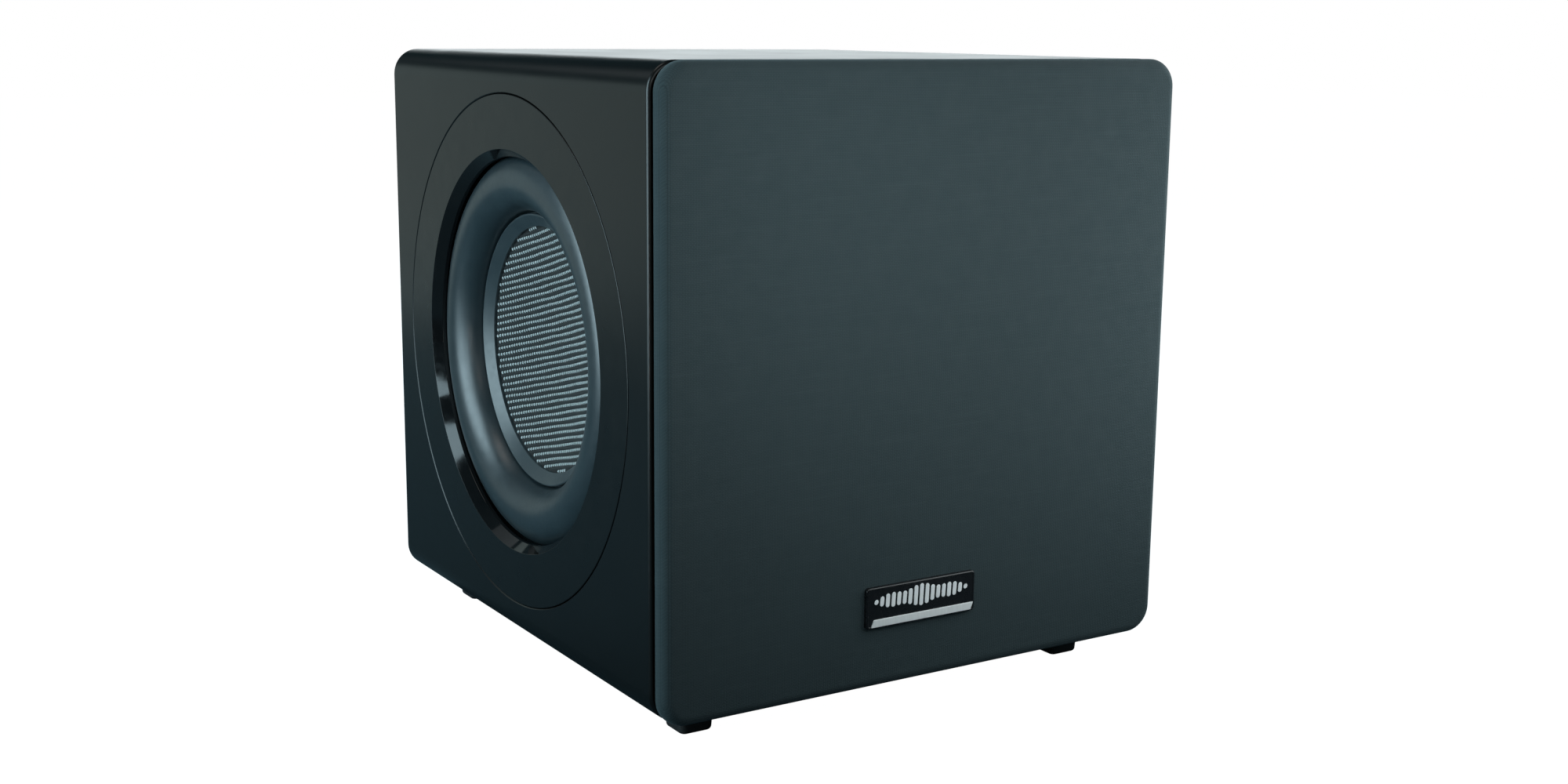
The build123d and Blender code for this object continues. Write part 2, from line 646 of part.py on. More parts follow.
def line_jack():
    barrel = ring(4.15, 3.4, -3.0, 9) + ring(6, 3.4, 0, 1.6)
    return barrel + (slab(10.6, 12, BOARD_FACE, -PLATE_T) - disc(3.4, -8, 0))


def jack_insert():
    return ring(3.4, 1.65, -8, 8.4)


def mains_inlet():
    body = slab(INLET_W, INLET_H, 0, INLET_T, 3) + slab(34, 38, -20, 0, 2)
    cavity = Pos(0, 8, 0) * slab(24.4, 16.4, -14, 3)
    for side in (-1, 1):
        cavity -= Pos(side * 12.2, 16.2, 0) * Rot(0, 0, 45) * slab(6, 6, -14, 3)
    body -= cavity
    body -= Pos(0, DRAWER_Y, 0) * slab(26.4, 8.4, -16.5, 3)
    for side in (-1, 1):
        body -= Pos(side * INLET_SCREW_X, INLET_SCREW_Y, 0) * disc(1.7, -1, 3)
    return body


def blades():
    spots = ((-7, 6, 0), (7, 6, 0), (0, 11, 0))
    return [Pos(x, y, z) * slab(2, 4, -14, -2) for x, y, z in spots]


def fuse_drawer():
    body = Pos(0, DRAWER_Y, 0) * slab(25.8, 7.8, -15, 2.6)
    body += Pos(0, DRAWER_Y, 0) * slab(28, 9.4, 2.6, 4.6, 1)
    body -= Pos(0, DRAWER_Y + 1, -8) * Box(20.8, 8, 5.8)
    return body - Pos(0, DRAWER_Y - 4.7, 5) * Box(12, 2.4, 3)


def speaker_lead(side):
    """One of the two leads from the amplifier's outlet, low along the chamber, to the driver's terminal."""
    start = REAR_Y - PLATE_T - ENCLOSURE_D
    route = [
        (side * 2.2, start, MID_Z - 70),
        (side * 2.2, start - 24, MID_Z - 70),
        (side * 3, MID_Y + 14, MID_Z - 84),
        (side * 6, BAFFLE_Y + 72, MID_Z - 87),
        (side * 11.5, BAFFLE_Y + 21, MID_Z - 87),
        (side * 11.5, BAFFLE_Y + 21, MID_Z - 74.8),
    ]
    path = FilletPolyline(*route, radius=(14, 40, 60, 7))
    return sweep(Plane(path @ 0, z_dir=path % 0) * Circle(1.1), path)


def make_amplifier():
    inlet_spot = Pos(INLET_X, INLET_Y, 0)
    rocker_spot = Pos(ROCKER_X, ROCKER_Y, 0)
    keep("amp_plate", REAR * amp_plate())
    inlet_screw = inlet_spot * Pos(0, INLET_SCREW_Y, INLET_T) * pan_screw(8, 2.6, 1.6)
    inlet_screws = [Pos(side * INLET_SCREW_X, 0, 0) * inlet_screw for side in (-1, 1)]
    plate_screws = [spot * pan_screw(14) for spot in plate_screw_spots()]
    keep("amp_screws", *[REAR * item for item in plate_screws + inlet_screws])
    keep("amp_enclosure", REAR * enclosure())
    keep("circuit_board", REAR * rear_board())
    keep("capacitors", *[REAR * item for item in board_parts()])
    keep("transformer", *[REAR * item for item in transformer()])
    keep("volume_knob", REAR * Pos(VOLUME_X, KNOB_Y, 0) * knob())
    keep("crossover_knob", REAR * Pos(CROSSOVER_X, KNOB_Y, 0) * knob())
    pot = slab(16, 16, BOARD_FACE, -5) - disc(SHAFT_R + RUNNING, -12, 0)
    keep("control_pots", *[REAR * Pos(x, KNOB_Y, 0) * pot for x in (VOLUME_X, CROSSOVER_X)])
    keep("phase_lever", REAR * Pos(SWITCH_X - SWITCH_THROW, PHASE_Y, -8.5) * slide_lever())
    keep("mode_lever", REAR * Pos(SWITCH_X, MODE_Y, -8.5) * slide_lever())
    bodies = [Pos(SWITCH_X, y, 0) * slide_switch() for y in (PHASE_Y, MODE_Y)]
    bodies.append(rocker_spot * rocker_bezel())
    keep("switch_bodies", *[REAR * item for item in bodies])
    keep("power_rocker", REAR * rocker_spot * Pos(0, 0, ROCKER_PIVOT) * Rot(-ROCKER_TILT, 0, 0) * rocker())
    keep("line_jacks", *[REAR * Pos(x, JACK_Y, 0) * line_jack() for x in JACK_XS])
    keep("line_jack_inserts", *[REAR * Pos(x, JACK_Y, 0) * jack_insert() for x in JACK_XS])
    keep("mains_inlet", REAR * inlet_spot * mains_inlet())
    keep("inlet_pins", *[REAR * inlet_spot * blade for blade in blades()])
    keep("fuse_drawer", REAR * inlet_spot * fuse_drawer())
    fuse = Pos(0, DRAWER_Y, -8) * Rot(0, 90, 0) * Cylinder(2.5, 20)
    keep("fuse", REAR * inlet_spot * fuse)
    led = disc(1.7, BOARD_FACE, 0.6) + Pos(0, 0, 0.6) * (Sphere(1.7) & disc(3, 0, 3))
    keep("status_led", REAR * Pos(LED_X, LED_Y, 0) * led)
    keep("speaker_leads", *[speaker_lead(side) for side in (-1, 1)])


make_cabinet()
make_grille()
make_driver()
for side_name, side_place in SIDES.items():
    make_radiator(side_name, side_place)
make_amplifier()

os.makedirs("parts", exist_ok=True)
for node_name, shape in nodes.items():
    shape.label = node_name
    export_step(shape, f"parts/{node_name}.step")
print(len(nodes), "nodes,", round(TOTAL_D, 2), "mm deep")
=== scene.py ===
# The looks of a compact powered subwoofer: finer pieces, finishes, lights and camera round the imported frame.
# Face drawings are in millimetres; everything placed in the scene is in metres.
from math import acos, copysign, cos, hypot, pi, radians, sin, sqrt, tan

import bmesh
import bpy
import numpy as np
from mathutils import Matrix, Vector, noise


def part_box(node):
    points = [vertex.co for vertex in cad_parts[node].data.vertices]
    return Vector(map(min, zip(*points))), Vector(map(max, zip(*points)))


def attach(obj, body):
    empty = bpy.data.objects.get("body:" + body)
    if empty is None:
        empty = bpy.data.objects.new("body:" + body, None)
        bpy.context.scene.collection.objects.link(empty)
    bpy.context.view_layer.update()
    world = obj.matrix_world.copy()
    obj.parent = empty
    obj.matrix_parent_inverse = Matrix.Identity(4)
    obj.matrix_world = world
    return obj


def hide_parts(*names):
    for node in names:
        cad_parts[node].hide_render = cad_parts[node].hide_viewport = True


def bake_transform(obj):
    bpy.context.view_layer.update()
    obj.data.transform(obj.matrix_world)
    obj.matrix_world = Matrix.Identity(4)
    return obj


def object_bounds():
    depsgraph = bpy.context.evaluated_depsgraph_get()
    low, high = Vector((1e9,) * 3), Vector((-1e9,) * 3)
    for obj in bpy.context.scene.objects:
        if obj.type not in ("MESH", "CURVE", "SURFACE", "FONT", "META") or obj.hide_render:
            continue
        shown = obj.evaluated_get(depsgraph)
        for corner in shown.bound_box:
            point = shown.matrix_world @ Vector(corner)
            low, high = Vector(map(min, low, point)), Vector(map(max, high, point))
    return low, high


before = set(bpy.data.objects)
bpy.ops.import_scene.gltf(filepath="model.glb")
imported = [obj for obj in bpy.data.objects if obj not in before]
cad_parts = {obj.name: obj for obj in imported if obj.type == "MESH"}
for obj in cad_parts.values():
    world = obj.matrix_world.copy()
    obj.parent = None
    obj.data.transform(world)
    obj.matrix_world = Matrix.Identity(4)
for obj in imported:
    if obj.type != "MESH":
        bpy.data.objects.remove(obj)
cad_low, cad_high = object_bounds()

MM = 0.001

# ------------------------ places


def face(origin, x_dir, z_dir):
    """The drawing frame of one face of the cabinet: local z points out of it and y points up."""
    x, z = Vector(x_dir), Vector(z_dir)
    matrix = Matrix((x, z.cross(x), z)).transposed().to_4x4()
    matrix.translation = origin
    return matrix


shell_low, shell_high = (Vector(corner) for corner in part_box("cabinet_shell"))
shell_mid = (shell_low + shell_high) / 2
CABINET_W = (shell_high.x - shell_low.x) / MM
CABINET_H = (shell_high.z - shell_low.z) / MM
CABINET_D = (shell_high.y - shell_low.y) / MM
FRONT = face((shell_mid.x, shell_low.y, shell_mid.z), (1, 0, 0), (0, -1, 0))
REAR = face((shell_mid.x, shell_high.y, shell_mid.z), (-1, 0, 0), (0, 1, 0))
LEFT = face((shell_low.x, shell_mid.y, shell_mid.z), (0, -1, 0), (-1, 0, 0))
RIGHT = face((shell_high.x, shell_mid.y, shell_mid.z), (0, 1, 0), (1, 0, 0))
GROUND = face((shell_mid.x, shell_mid.y, cad_low[2]), (1, 0, 0), (0, 0, 1))
SIDES = {"left": LEFT, "right": RIGHT}


def local_box(node, place):
    """A CAD node's box in a face's own frame, in millimetres: (lowest corner, highest corner)."""
    inverse = place.inverted()
    a, b = (inverse @ Vector(corner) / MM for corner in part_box(node))
    return np.minimum(a, b), np.maximum(a, b)


def middle(node, place):
    low, high = local_box(node, place)
    return (low + high) / 2


def moved(place, x, y, z=0.0):
    return place @ Matrix.Translation((x * MM, y * MM, z * MM))


# ------------------------ materials


def plug(tree, value, target):
    """Give a node's input a plain value, or link it to another node's output."""
    if isinstance(value, bpy.types.NodeSocket):
        tree.links.new(value, target)
    else:
        target.default_value = value


def add(tree, kind, settings=None, **attributes):
    node = tree.nodes.new(kind)
    for key, value in attributes.items():
        setattr(node, key, value)
    for key, value in (settings or {}).items():
        plug(tree, value, node.inputs[key])
    return node


def calc(tree, operation, *operands):
    return add(tree, "ShaderNodeMath", dict(enumerate(operands)), operation=operation).outputs[0]


def new_material(name, rough, **shader):
    mat = bpy.data.materials.new(name)
    mat.use_nodes = True
    tree = mat.node_tree
    bsdf = tree.nodes["Principled BSDF"]
    bsdf.inputs["Roughness"].default_value = rough
    for key, value in shader.items():
        bsdf.inputs[key.replace("_", " ")].default_value = value
    return mat, tree, bsdf


def object_axes(tree):
    """The object coordinates, whole and split into their axes."""
    where = add(tree, "ShaderNodeTexCoord").outputs["Object"]
    return where, add(tree, "ShaderNodeSeparateXYZ", {"Vector": where}).outputs


def coordinates(tree, scale=(1, 1, 1), turn=(0, 0, 0)):
    where = add(tree, "ShaderNodeTexCoord").outputs["Object"]
    mapping = add(tree, "ShaderNodeMapping", {"Vector": where, "Scale": scale, "Rotation": turn})
    return mapping.outputs["Vector"]


def noise_at(tree, vector, scale, detail=3.0, rough=0.55):
    settings = {"Vector": vector, "Scale": scale, "Detail": detail, "Roughness": rough}
    return add(tree, "ShaderNodeTexNoise", settings).outputs["Fac"]


def spread(tree, value, low, high, start=0.3, end=0.7):
    settings = {"Value": value, "From Min": start, "From Max": end, "To Min": low, "To Max": high}
    return add(tree, "ShaderNodeMapRange", settings).outputs["Result"]


def blend_colours(tree, factor, a, b):
    """A mix of two colours, each a triple or a socket."""
    a, b = (value if isinstance(value, bpy.types.NodeSocket) else (*value, 1) for value in (a, b))
    return add(tree, "ShaderNodeMix", {"Factor": factor, 6: a, 7: b}, data_type="RGBA").outputs[2]


def bump(tree, bsdf, height, strength, distance):
    node = add(tree, "ShaderNodeBump", {"Height": height, "Strength": strength, "Distance": distance})
    tree.links.new(node.outputs["Normal"], bsdf.inputs["Normal"])


def shade(tree, bsdf, colour, rough):
    tree.links.new(colour, bsdf.inputs["Base Color"])
    tree.links.new(rough, bsdf.inputs["Roughness"])


def finish_of(name, colour, other, rough, swing, mottle, grain, strength, depth=0.0001, stretch=(1, 1, 1),
              **shader):
    """A finish whose colour drifts between two tones, with uneven roughness and a grain."""
    mat, tree, bsdf = new_material(name, rough, **shader)
    vector = coordinates(tree, stretch)
    tone = spread(tree, noise_at(tree, vector, mottle, 4.0), 0.0, 1.0)
    wear = spread(tree, noise_at(tree, vector, mottle * 3.7, 2.0), rough - swing, rough + swing)
    shade(tree, bsdf, blend_colours(tree, tone, colour, other), wear)
    bump(tree, bsdf, noise_at(tree, vector, grain, 2.0), strength, depth)
    return mat


PAINT = (0.0014, 0.0017, 0.0017), (0.0020, 0.0023, 0.0022)
BOARD = (0.20, 0.125, 0.065), (0.33, 0.22, 0.125)
PAINTED_DEPTH = 0.0115
THREAD_PITCH = 0.00062


def cabinet_lacquer():
    """Satin black lacquer outside, with a fine orange peel and a few dust specks; bare fibreboard inside."""
    mat, tree, bsdf = new_material("satin_lacquer", 0.36)
    where, axes = object_axes(tree)
    depths = []
    for axis, centre, size in (("X", shell_mid.x, CABINET_W), ("Y", shell_mid.y, CABINET_D),
                               ("Z", shell_mid.z, CABINET_H)):
        off_centre = calc(tree, "ABSOLUTE", calc(tree, "SUBTRACT", axes[axis], centre))
        depths.append(calc(tree, "SUBTRACT", off_centre, size * MM / 2 - PAINTED_DEPTH))
    nearest = calc(tree, "MAXIMUM", calc(tree, "MAXIMUM", depths[0], depths[1]), depths[2])
    outside = calc(tree, "GREATER_THAN", nearest, 0.0)
    drift = spread(tree, noise_at(tree, where, 9, 3.0), 0.0, 1.0)
    paint = blend_colours(tree, drift, *PAINT)
    specks = spread(tree, noise_at(tree, where, 1700, 1.0), 0.0, 0.35, 0.80, 0.84)
    paint = blend_colours(tree, specks, paint, (0.10, 0.10, 0.095))
    fibres = spread(tree, noise_at(tree, where, 700, 4.0), 0.0, 1.0)
    board = blend_colours(tree, fibres, *BOARD)
    satin = spread(tree, noise_at(tree, where, 35, 3.0), 0.28, 0.32)
    rough = add(tree, "ShaderNodeMix", {0: outside, 2: 0.85, 3: satin}, data_type="FLOAT")
    shade(tree, bsdf, blend_colours(tree, outside, board, paint), rough.outputs[0])
    bump(tree, bsdf, noise_at(tree, where, 420, 2.0), 0.10, 0.00006)
    return mat


def woven_pattern(tree, pitch):
    """A plain weave of that pitch, in metres, over a sheet that faces Y and wraps round its edges."""
    where, axes = object_axes(tree)
    bands = []
    for axis in ("X", "Z"):
        along = calc(tree, "ADD", axes[axis], axes["Y"])
        bands.append(calc(tree, "SINE", calc(tree, "MULTIPLY", along, pi / pitch)))
    over = calc(tree, "MULTIPLY", *bands)
    return where, calc(tree, "ABSOLUTE", over), over


def cloth_finish():
    """Dark blue-grey speaker cloth, a fine plain weave with slubs and a soft sheen."""
    mat, tree, bsdf = new_material("speaker_cloth", 0.86, Sheen_Weight=0.12, Sheen_Roughness=0.5,
                                   Sheen_Tint=(0.55, 0.72, 0.78, 1), Specular_IOR_Level=0.2)
    where, height, over = woven_pattern(tree, THREAD_PITCH)
    threads = blend_colours(tree, spread(tree, over, 0.0, 1.0, -0.6, 0.6), (0.0300, 0.0465, 0.0510),
                            (0.0350, 0.0530, 0.0575))
    slubs = spread(tree, noise_at(tree, coordinates(tree, (30, 30, 900)), 1.0, 2.0), 0.0, 0.35, 0.52, 0.75)
    threads = blend_colours(tree, slubs, threads, (0.042, 0.061, 0.066))
    gaps = spread(tree, height, 0.45, 0.0, 0.0, 0.35)
    shade(tree, bsdf, blend_colours(tree, gaps, threads, (0.006, 0.010, 0.012)),
          spread(tree, noise_at(tree, where, 150, 2.0), 0.8, 0.92))
    bump(tree, bsdf, height, 0.5, 0.00012)
    return mat


def dish_fibre(name, light, dark, rough, angle, strength):
    """Woven fibre with fine filaments along each float."""
    mat, tree, bsdf = new_material(name, rough, Sheen_Weight=0.1)
    vector = coordinates(tree, (600, 9000, 1400), (angle, 0, 0))
    filaments = noise_at(tree, vector, 1.0, 3.0, 0.7)
    tone = spread(tree, filaments, 0.0, 1.0)
    shade(tree, bsdf, blend_colours(tree, tone, dark, light),
          spread(tree, filaments, rough - 0.1, rough + 0.12))
    bump(tree, bsdf, filaments, strength, 0.0001)
    return mat


# After the two tones: roughness and its swing, scales of mottle and grain, bump strength and depth in metres.
CLOTH = cloth_finish()
SATIN_TRIM = finish_of("satin_trim", *PAINT, 0.30, 0.03, 30, 420, 0.1, 0.00006)
POLISHED = finish_of("polished_trim", (0.004, 0.0042, 0.0045), (0.006, 0.006, 0.0062), 0.07, 0.02, 90, 500,
                     0.04, 0.00004)
ROLL = finish_of("roll_rubber", (0.0120, 0.0215, 0.0265), (0.0180, 0.0295, 0.0350), 0.36, 0.04, 90, 1500,
                 0.12, 0.00006, Specular_IOR_Level=0.95)
LANDING = finish_of("landing_rubber", (0.026, 0.038, 0.044), (0.036, 0.049, 0.055), 0.34, 0.04, 120, 1500,
                    0.12, 0.00006, Specular_IOR_Level=0.8)
WEAVE_ANGLE = radians(14)
DISH_BASE = dish_fibre("dish_matrix", (0.003, 0.004, 0.004), (0.002, 0.003, 0.003), 0.7, WEAVE_ANGLE, 0.3)
DISH_WEFT = dish_fibre("dish_weft", (0.009, 0.012, 0.013), (0.003, 0.004, 0.005), 0.6, WEAVE_ANGLE, 0.4)
DISH_FLOAT = dish_fibre("dish_float", (0.66, 0.71, 0.71), (0.34, 0.40, 0.41), 0.36, WEAVE_ANGLE, 0.5)
WHITE_INSERT = finish_of("jack_white", (0.62, 0.62, 0.60), (0.72, 0.72, 0.70), 0.34, 0.05, 160, 1500, 0.1)
PRINT = finish_of("panel_print", (0.55, 0.56, 0.56), (0.66, 0.67, 0.67), 0.6, 0.06, 220, 2200, 0.2)
BADGE_MARK = finish_of("badge_mark", (0.90, 0.91, 0.91), (0.95, 0.96, 0.96), 0.35, 0.05, 120, 900, 0.1)

FINISHES = {"lacquer": cabinet_lacquer(), "trim_lacquer": SATIN_TRIM, "grille_cloth": CLOTH,
            "roll_rubber": ROLL, "ring_rubber": LANDING, "woven_fibre": DISH_BASE}


def slot_finish(slot, *looks, called=None, **shader):
    """The finish that stands for one of the CAD's material slots."""
    FINISHES[slot] = finish_of(called or slot, *looks, **shader)


slot_finish("fibreboard", *BOARD, 0.85, 0.05, 300, 900, 0.3)
slot_finish("wadding", (0.55, 0.54, 0.50), (0.75, 0.74, 0.70), 0.95, 0.04, 40, 400, 0.8, 0.0015,
            Sheen_Weight=0.4)
slot_finish("foot_rubber", (0.012, 0.013, 0.014), (0.022, 0.023, 0.024), 0.62, 0.08, 150, 2600, 0.25, 0.00008)
slot_finish("foam", (0.020, 0.020, 0.021), (0.040, 0.040, 0.041), 0.95, 0.03, 700, 2200, 0.8, 0.0003,
            called="gasket_foam")
slot_finish("paper_cone", (0.012, 0.012, 0.013), (0.024, 0.024, 0.024), 0.8, 0.08, 260, 1900, 0.6, 0.00018)
slot_finish("moulded_black", (0.011, 0.011, 0.012), (0.016, 0.016, 0.017), 0.46, 0.06, 80, 3200, 0.3, 0.00006)
slot_finish("frame_black", (0.010, 0.010, 0.011), (0.018, 0.018, 0.018), 0.5, 0.08, 120, 2400, 0.35, 0.00009)
slot_finish("black_steel", (0.020, 0.020, 0.022), (0.045, 0.044, 0.044), 0.36, 0.08, 300, 2400, 0.2, 0.00005,
            Metallic=0.8)
slot_finish("cast_black", (0.010, 0.0105, 0.011), (0.017, 0.0175, 0.018), 0.56, 0.06, 70, 2100, 0.55, 0.00012,
            called="powder_coat")
slot_finish("plated_steel", (0.42, 0.43, 0.42), (0.58, 0.58, 0.56), 0.34, 0.1, 40, 500, 0.1, 0.00005,
            (1, 1, 14), Metallic=1.0)
slot_finish("ferrite", (0.030, 0.030, 0.032), (0.060, 0.060, 0.064), 0.7, 0.08, 200, 1700, 0.4, 0.0001)
slot_finish("copper_coil", (0.55, 0.24, 0.10), (0.72, 0.34, 0.15), 0.3, 0.06, 90, 60, 0.5, 0.0001,
            (1, 40, 1), Metallic=1.0)
slot_finish("coil_form", (0.20, 0.10, 0.035), (0.28, 0.15, 0.06), 0.35, 0.05, 120, 900, 0.1)
slot_finish("spider_cloth", (0.16, 0.12, 0.055), (0.24, 0.185, 0.09), 0.9, 0.04, 300, 1500, 0.8, 0.0003)
slot_finish("board_green", (0.010, 0.075, 0.030), (0.016, 0.11, 0.045), 0.3, 0.06, 160, 900, 0.2)
slot_finish("can_black", (0.012, 0.012, 0.014), (0.025, 0.025, 0.03), 0.28, 0.05, 200, 900, 0.1)
slot_finish("jack_metal", (0.62, 0.43, 0.16), (0.74, 0.54, 0.22), 0.22, 0.06, 180, 1500, 0.1, 0.00004,
            called="jack_gold", Metallic=1.0)
slot_finish("jack_red", (0.30, 0.012, 0.010), (0.40, 0.022, 0.016), 0.34, 0.05, 160, 1500, 0.1)
slot_finish("badge_black", (0.005, 0.005, 0.006), (0.008, 0.008, 0.009), 0.28, 0.03, 90, 700, 0.05, 0.00004,
            called="badge_gloss", Coat_Weight=0.15)
slot_finish("badge_silver", (0.84, 0.85, 0.84), (0.91, 0.92, 0.91), 0.34, 0.05, 60, 300, 0.08, 0.00003,
            (30, 1, 1), Metallic=0.1)
slot_finish("blade_metal", (0.55, 0.52, 0.44), (0.68, 0.65, 0.56), 0.25, 0.06, 160, 900, 0.1, 0.00004,
            Metallic=1.0)
slot_finish("lamp_blue", (0.05, 0.22, 0.60), (0.08, 0.32, 0.80), 0.18, 0.04, 300, 900, 0.05,
            Transmission_Weight=0.3, Emission_Color=(0.1, 0.4, 1.0, 1), Emission_Strength=0.25)
slot_finish("fuse_glass", (0.55, 0.60, 0.60), (0.70, 0.74, 0.74), 0.12, 0.04, 200, 900, 0.05,
            Transmission_Weight=0.6)
slot_finish("lead_sleeve", (0.24, 0.012, 0.012), (0.32, 0.02, 0.018), 0.45, 0.05, 200, 1200, 0.1)

# ------------------------ mesh helpers


def new_object(name, data):
    obj = bpy.data.objects.new(name, data)
    bpy.context.scene.collection.objects.link(obj)
    return obj


def smooth_into(bm, mesh, sharp):
    """Shade a mesh smooth, with its edges above an angle left sharp, and let go of the edit copy."""
    limit = radians(sharp)
    for f in bm.faces:
        f.smooth = True
    for e in bm.edges:
        e.smooth = len(e.link_faces) == 2 and e.calc_face_angle() < limit
    bm.to_mesh(mesh)
    bm.free()


def build(name, place, points, faces, materials, index=None, weld=False, sharp=40.0, weighted=True):
    """One smooth-shaded mesh, from points in a face's own frame; a material may be given as a slot's name."""
    points = np.asarray(points, float) * MM
    turn, shift = np.array(place.to_3x3()), np.array(place.translation)
    mesh = bpy.data.meshes.new(name)
    mesh.from_pydata((points @ turn.T + shift).tolist(), [], faces)
    for mat in materials:
        mesh.materials.append(FINISHES[mat] if isinstance(mat, str) else mat)
    if index is not None:
        mesh.polygons.foreach_set("material_index", index)
    bm = bmesh.new()
    bm.from_mesh(mesh)
    if weld:
        bmesh.ops.remove_doubles(bm, verts=bm.verts, dist=2e-7)
    bmesh.ops.recalc_face_normals(bm, faces=bm.faces)
    smooth_into(bm, mesh, sharp)
    obj = new_object(name, mesh)
    if weighted:
        normals = obj.modifiers.new("normals", "WEIGHTED_NORMAL")
        normals.keep_sharp = True
    return obj


def soften(outline, steps=4):
    """Round the corners of a closed outline of points (r, z), (r, z, fillet) or (r, z, fillet, material)."""
    full = [(p[0], p[1], p[2] if len(p) > 2 else 0.0, p[3] if len(p) > 3 else 0) for p in outline]
    points, index = [], []
    for i, (r, z, fillet, mat) in enumerate(full):
        here = np.array((r, z))
        before, after = (np.array(full[k % len(full)][:2]) - here for k in (i - 1, i + 1))
        la, lb = np.linalg.norm(before), np.linalg.norm(after)
        if fillet <= 0 or min(la, lb) < 1e-6:
            points.append((r, z))
            index.append(mat)
            continue
        half = acos(max(-1.0, min(1.0, before @ after / (la * lb)))) / 2
        reach = min(fillet / max(tan(half), 1e-3), 0.49 * la, 0.49 * lb)
        a, b = here + before / la * reach, here + after / lb * reach
        for s in range(steps + 1):
            t = s / steps
            p = (1 - t) ** 2 * a + 2 * t * (1 - t) * here + t * t * b
            points.append(tuple(p))
            index.append(mat)
    return points, index


def arc(centre_r, centre_z, radius, start, end, steps):
    """Points along a circular arc in an outline, from start to end in degrees."""
    angles = np.radians(np.linspace(start, end, steps + 1))
    return [(centre_r + radius * cos(a), centre_z + radius * sin(a)) for a in angles]


def skin_faces(n, rings, closed=False):
    """Quads between neighbouring rings of n points each; closed also joins the last ring to the first."""
    faces = []
    for k in range(rings if closed else rings - 1):
        a, b = k * n, (k + 1) % rings * n
        faces += [(a + i, a + (i + 1) % n, b + (i + 1) % n, b + i) for i in range(n)]
    return faces


def revolved(outline, steps, warp=None):
    """Points and faces of a closed (r, z) outline turned about local z."""
    points = []
    for t in np.linspace(0, 2 * pi, steps, endpoint=False):
        for r, z in outline:
            radius = r if warp is None else warp(r, z, t)
            points.append((radius * cos(t), radius * sin(t), z))
    return points, skin_faces(len(outline), steps, closed=True)


def lathe(name, place, outline, materials, steps=160, sharp=40.0, rounding=4, warp=None):
    """A turned solid with softened corners, each stretch of its outline in its own material."""
    outline, index = soften(outline, rounding)
    points, faces = revolved(outline, steps, warp)
    return build(name, place, points, faces, materials, index * steps, weld=True, sharp=sharp)


def loop(width, height, corner, z, steps=8):
    """A rounded rectangle of points at one height."""
    points = []
    corner = max(corner, 0.01)
    for quarter, (sx, sy) in enumerate(((1, 1), (-1, 1), (-1, -1), (1, -1))):
        for s in range(steps + 1):
            a = radians(90 * quarter + 90 * s / steps)
            points.append((sx * (width / 2 - corner) + corner * cos(a),
                           sy * (height / 2 - corner) + corner * sin(a), z))
    return points


def lofted(loops):
    """Points and faces of a solid skinned through loops with equal counts, capped at both ends."""
    n = len(loops[0])
    points = [p for ring in loops for p in ring]
    faces = skin_faces(n, len(loops))
    faces.append(tuple(reversed(range(n))))
    faces.append(tuple(range(len(points) - n, len(points))))
    return points, faces


def join_parts(parts):
    """The points and faces of several parts as those of one mesh."""
    points, faces = [], []
    for some_points, some_faces in parts:
        base = len(points)
        points += list(some_points)
        faces += [tuple(base + i for i in f) for f in some_faces]
    return points, faces


def refine(node, bevel, segments=2, name=None):
    """A finer copy of a CAD node's mesh: welded, its flat facets merged and its edges rounded."""
    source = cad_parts[node]
    bm = bmesh.new()
    bm.from_mesh(source.data)
    bmesh.ops.remove_doubles(bm, verts=bm.verts, dist=2e-6)
    bmesh.ops.dissolve_limit(bm, angle_limit=radians(0.5), verts=bm.verts, edges=bm.edges)
    mesh = bpy.data.meshes.new(name or node + "_fine")
    smooth_into(bm, mesh, 40)
    obj = new_object(mesh.name, mesh)
    round_off = obj.modifiers.new("edges", "BEVEL")
    round_off.width = bevel * MM
    round_off.segments = segments
    round_off.limit_method = "ANGLE"
    round_off.angle_limit = radians(35)
    round_off.harden_normals = True
    return obj


def piece(obj, body, slot, *nodes, material=None):
    """Let an object ride a body, in the place of the CAD nodes it stands for; the CAD slot it is given is not
    used.
    """
    if material is not None:
        obj.data.materials.clear()
        obj.data.materials.append(material)
    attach(obj, body)
    if nodes:
        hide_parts(*nodes)
    return obj


def flexing(obj, node):
    """Bake a ring's place into its mesh and hide the CAD node that it stands for."""
    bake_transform(obj)
    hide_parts(node)
    return obj


def flexing_ring(name, place, outline, steps, sharp, material, *held):
    """A thin turned ring, a surround or a spider, baked in place of a CAD node."""
    points, faces = revolved(outline, steps)
    moving, slot, node, outer, inner = held
    flexing(build(name, place, points, faces, [material], sharp=sharp), node)


# ------------------------ grille

grille_low, grille_high = local_box("grille_cloth", FRONT)
CLOTH_OUT, CLOTH_BACK, CLOTH_SKIN = grille_high[2], grille_low[2], 0.55
EDGE_R, CLOTH_ROUND, BACK_ROUND, WRAP = 11.0, 4.5, 0.9, 10.0
FLAT_INSET, FRONT_GRID = 9.0, 44
WINDOW_R, WINDOW_DIP, CLOTH_WANDER = 80.0, 0.22, 0.05


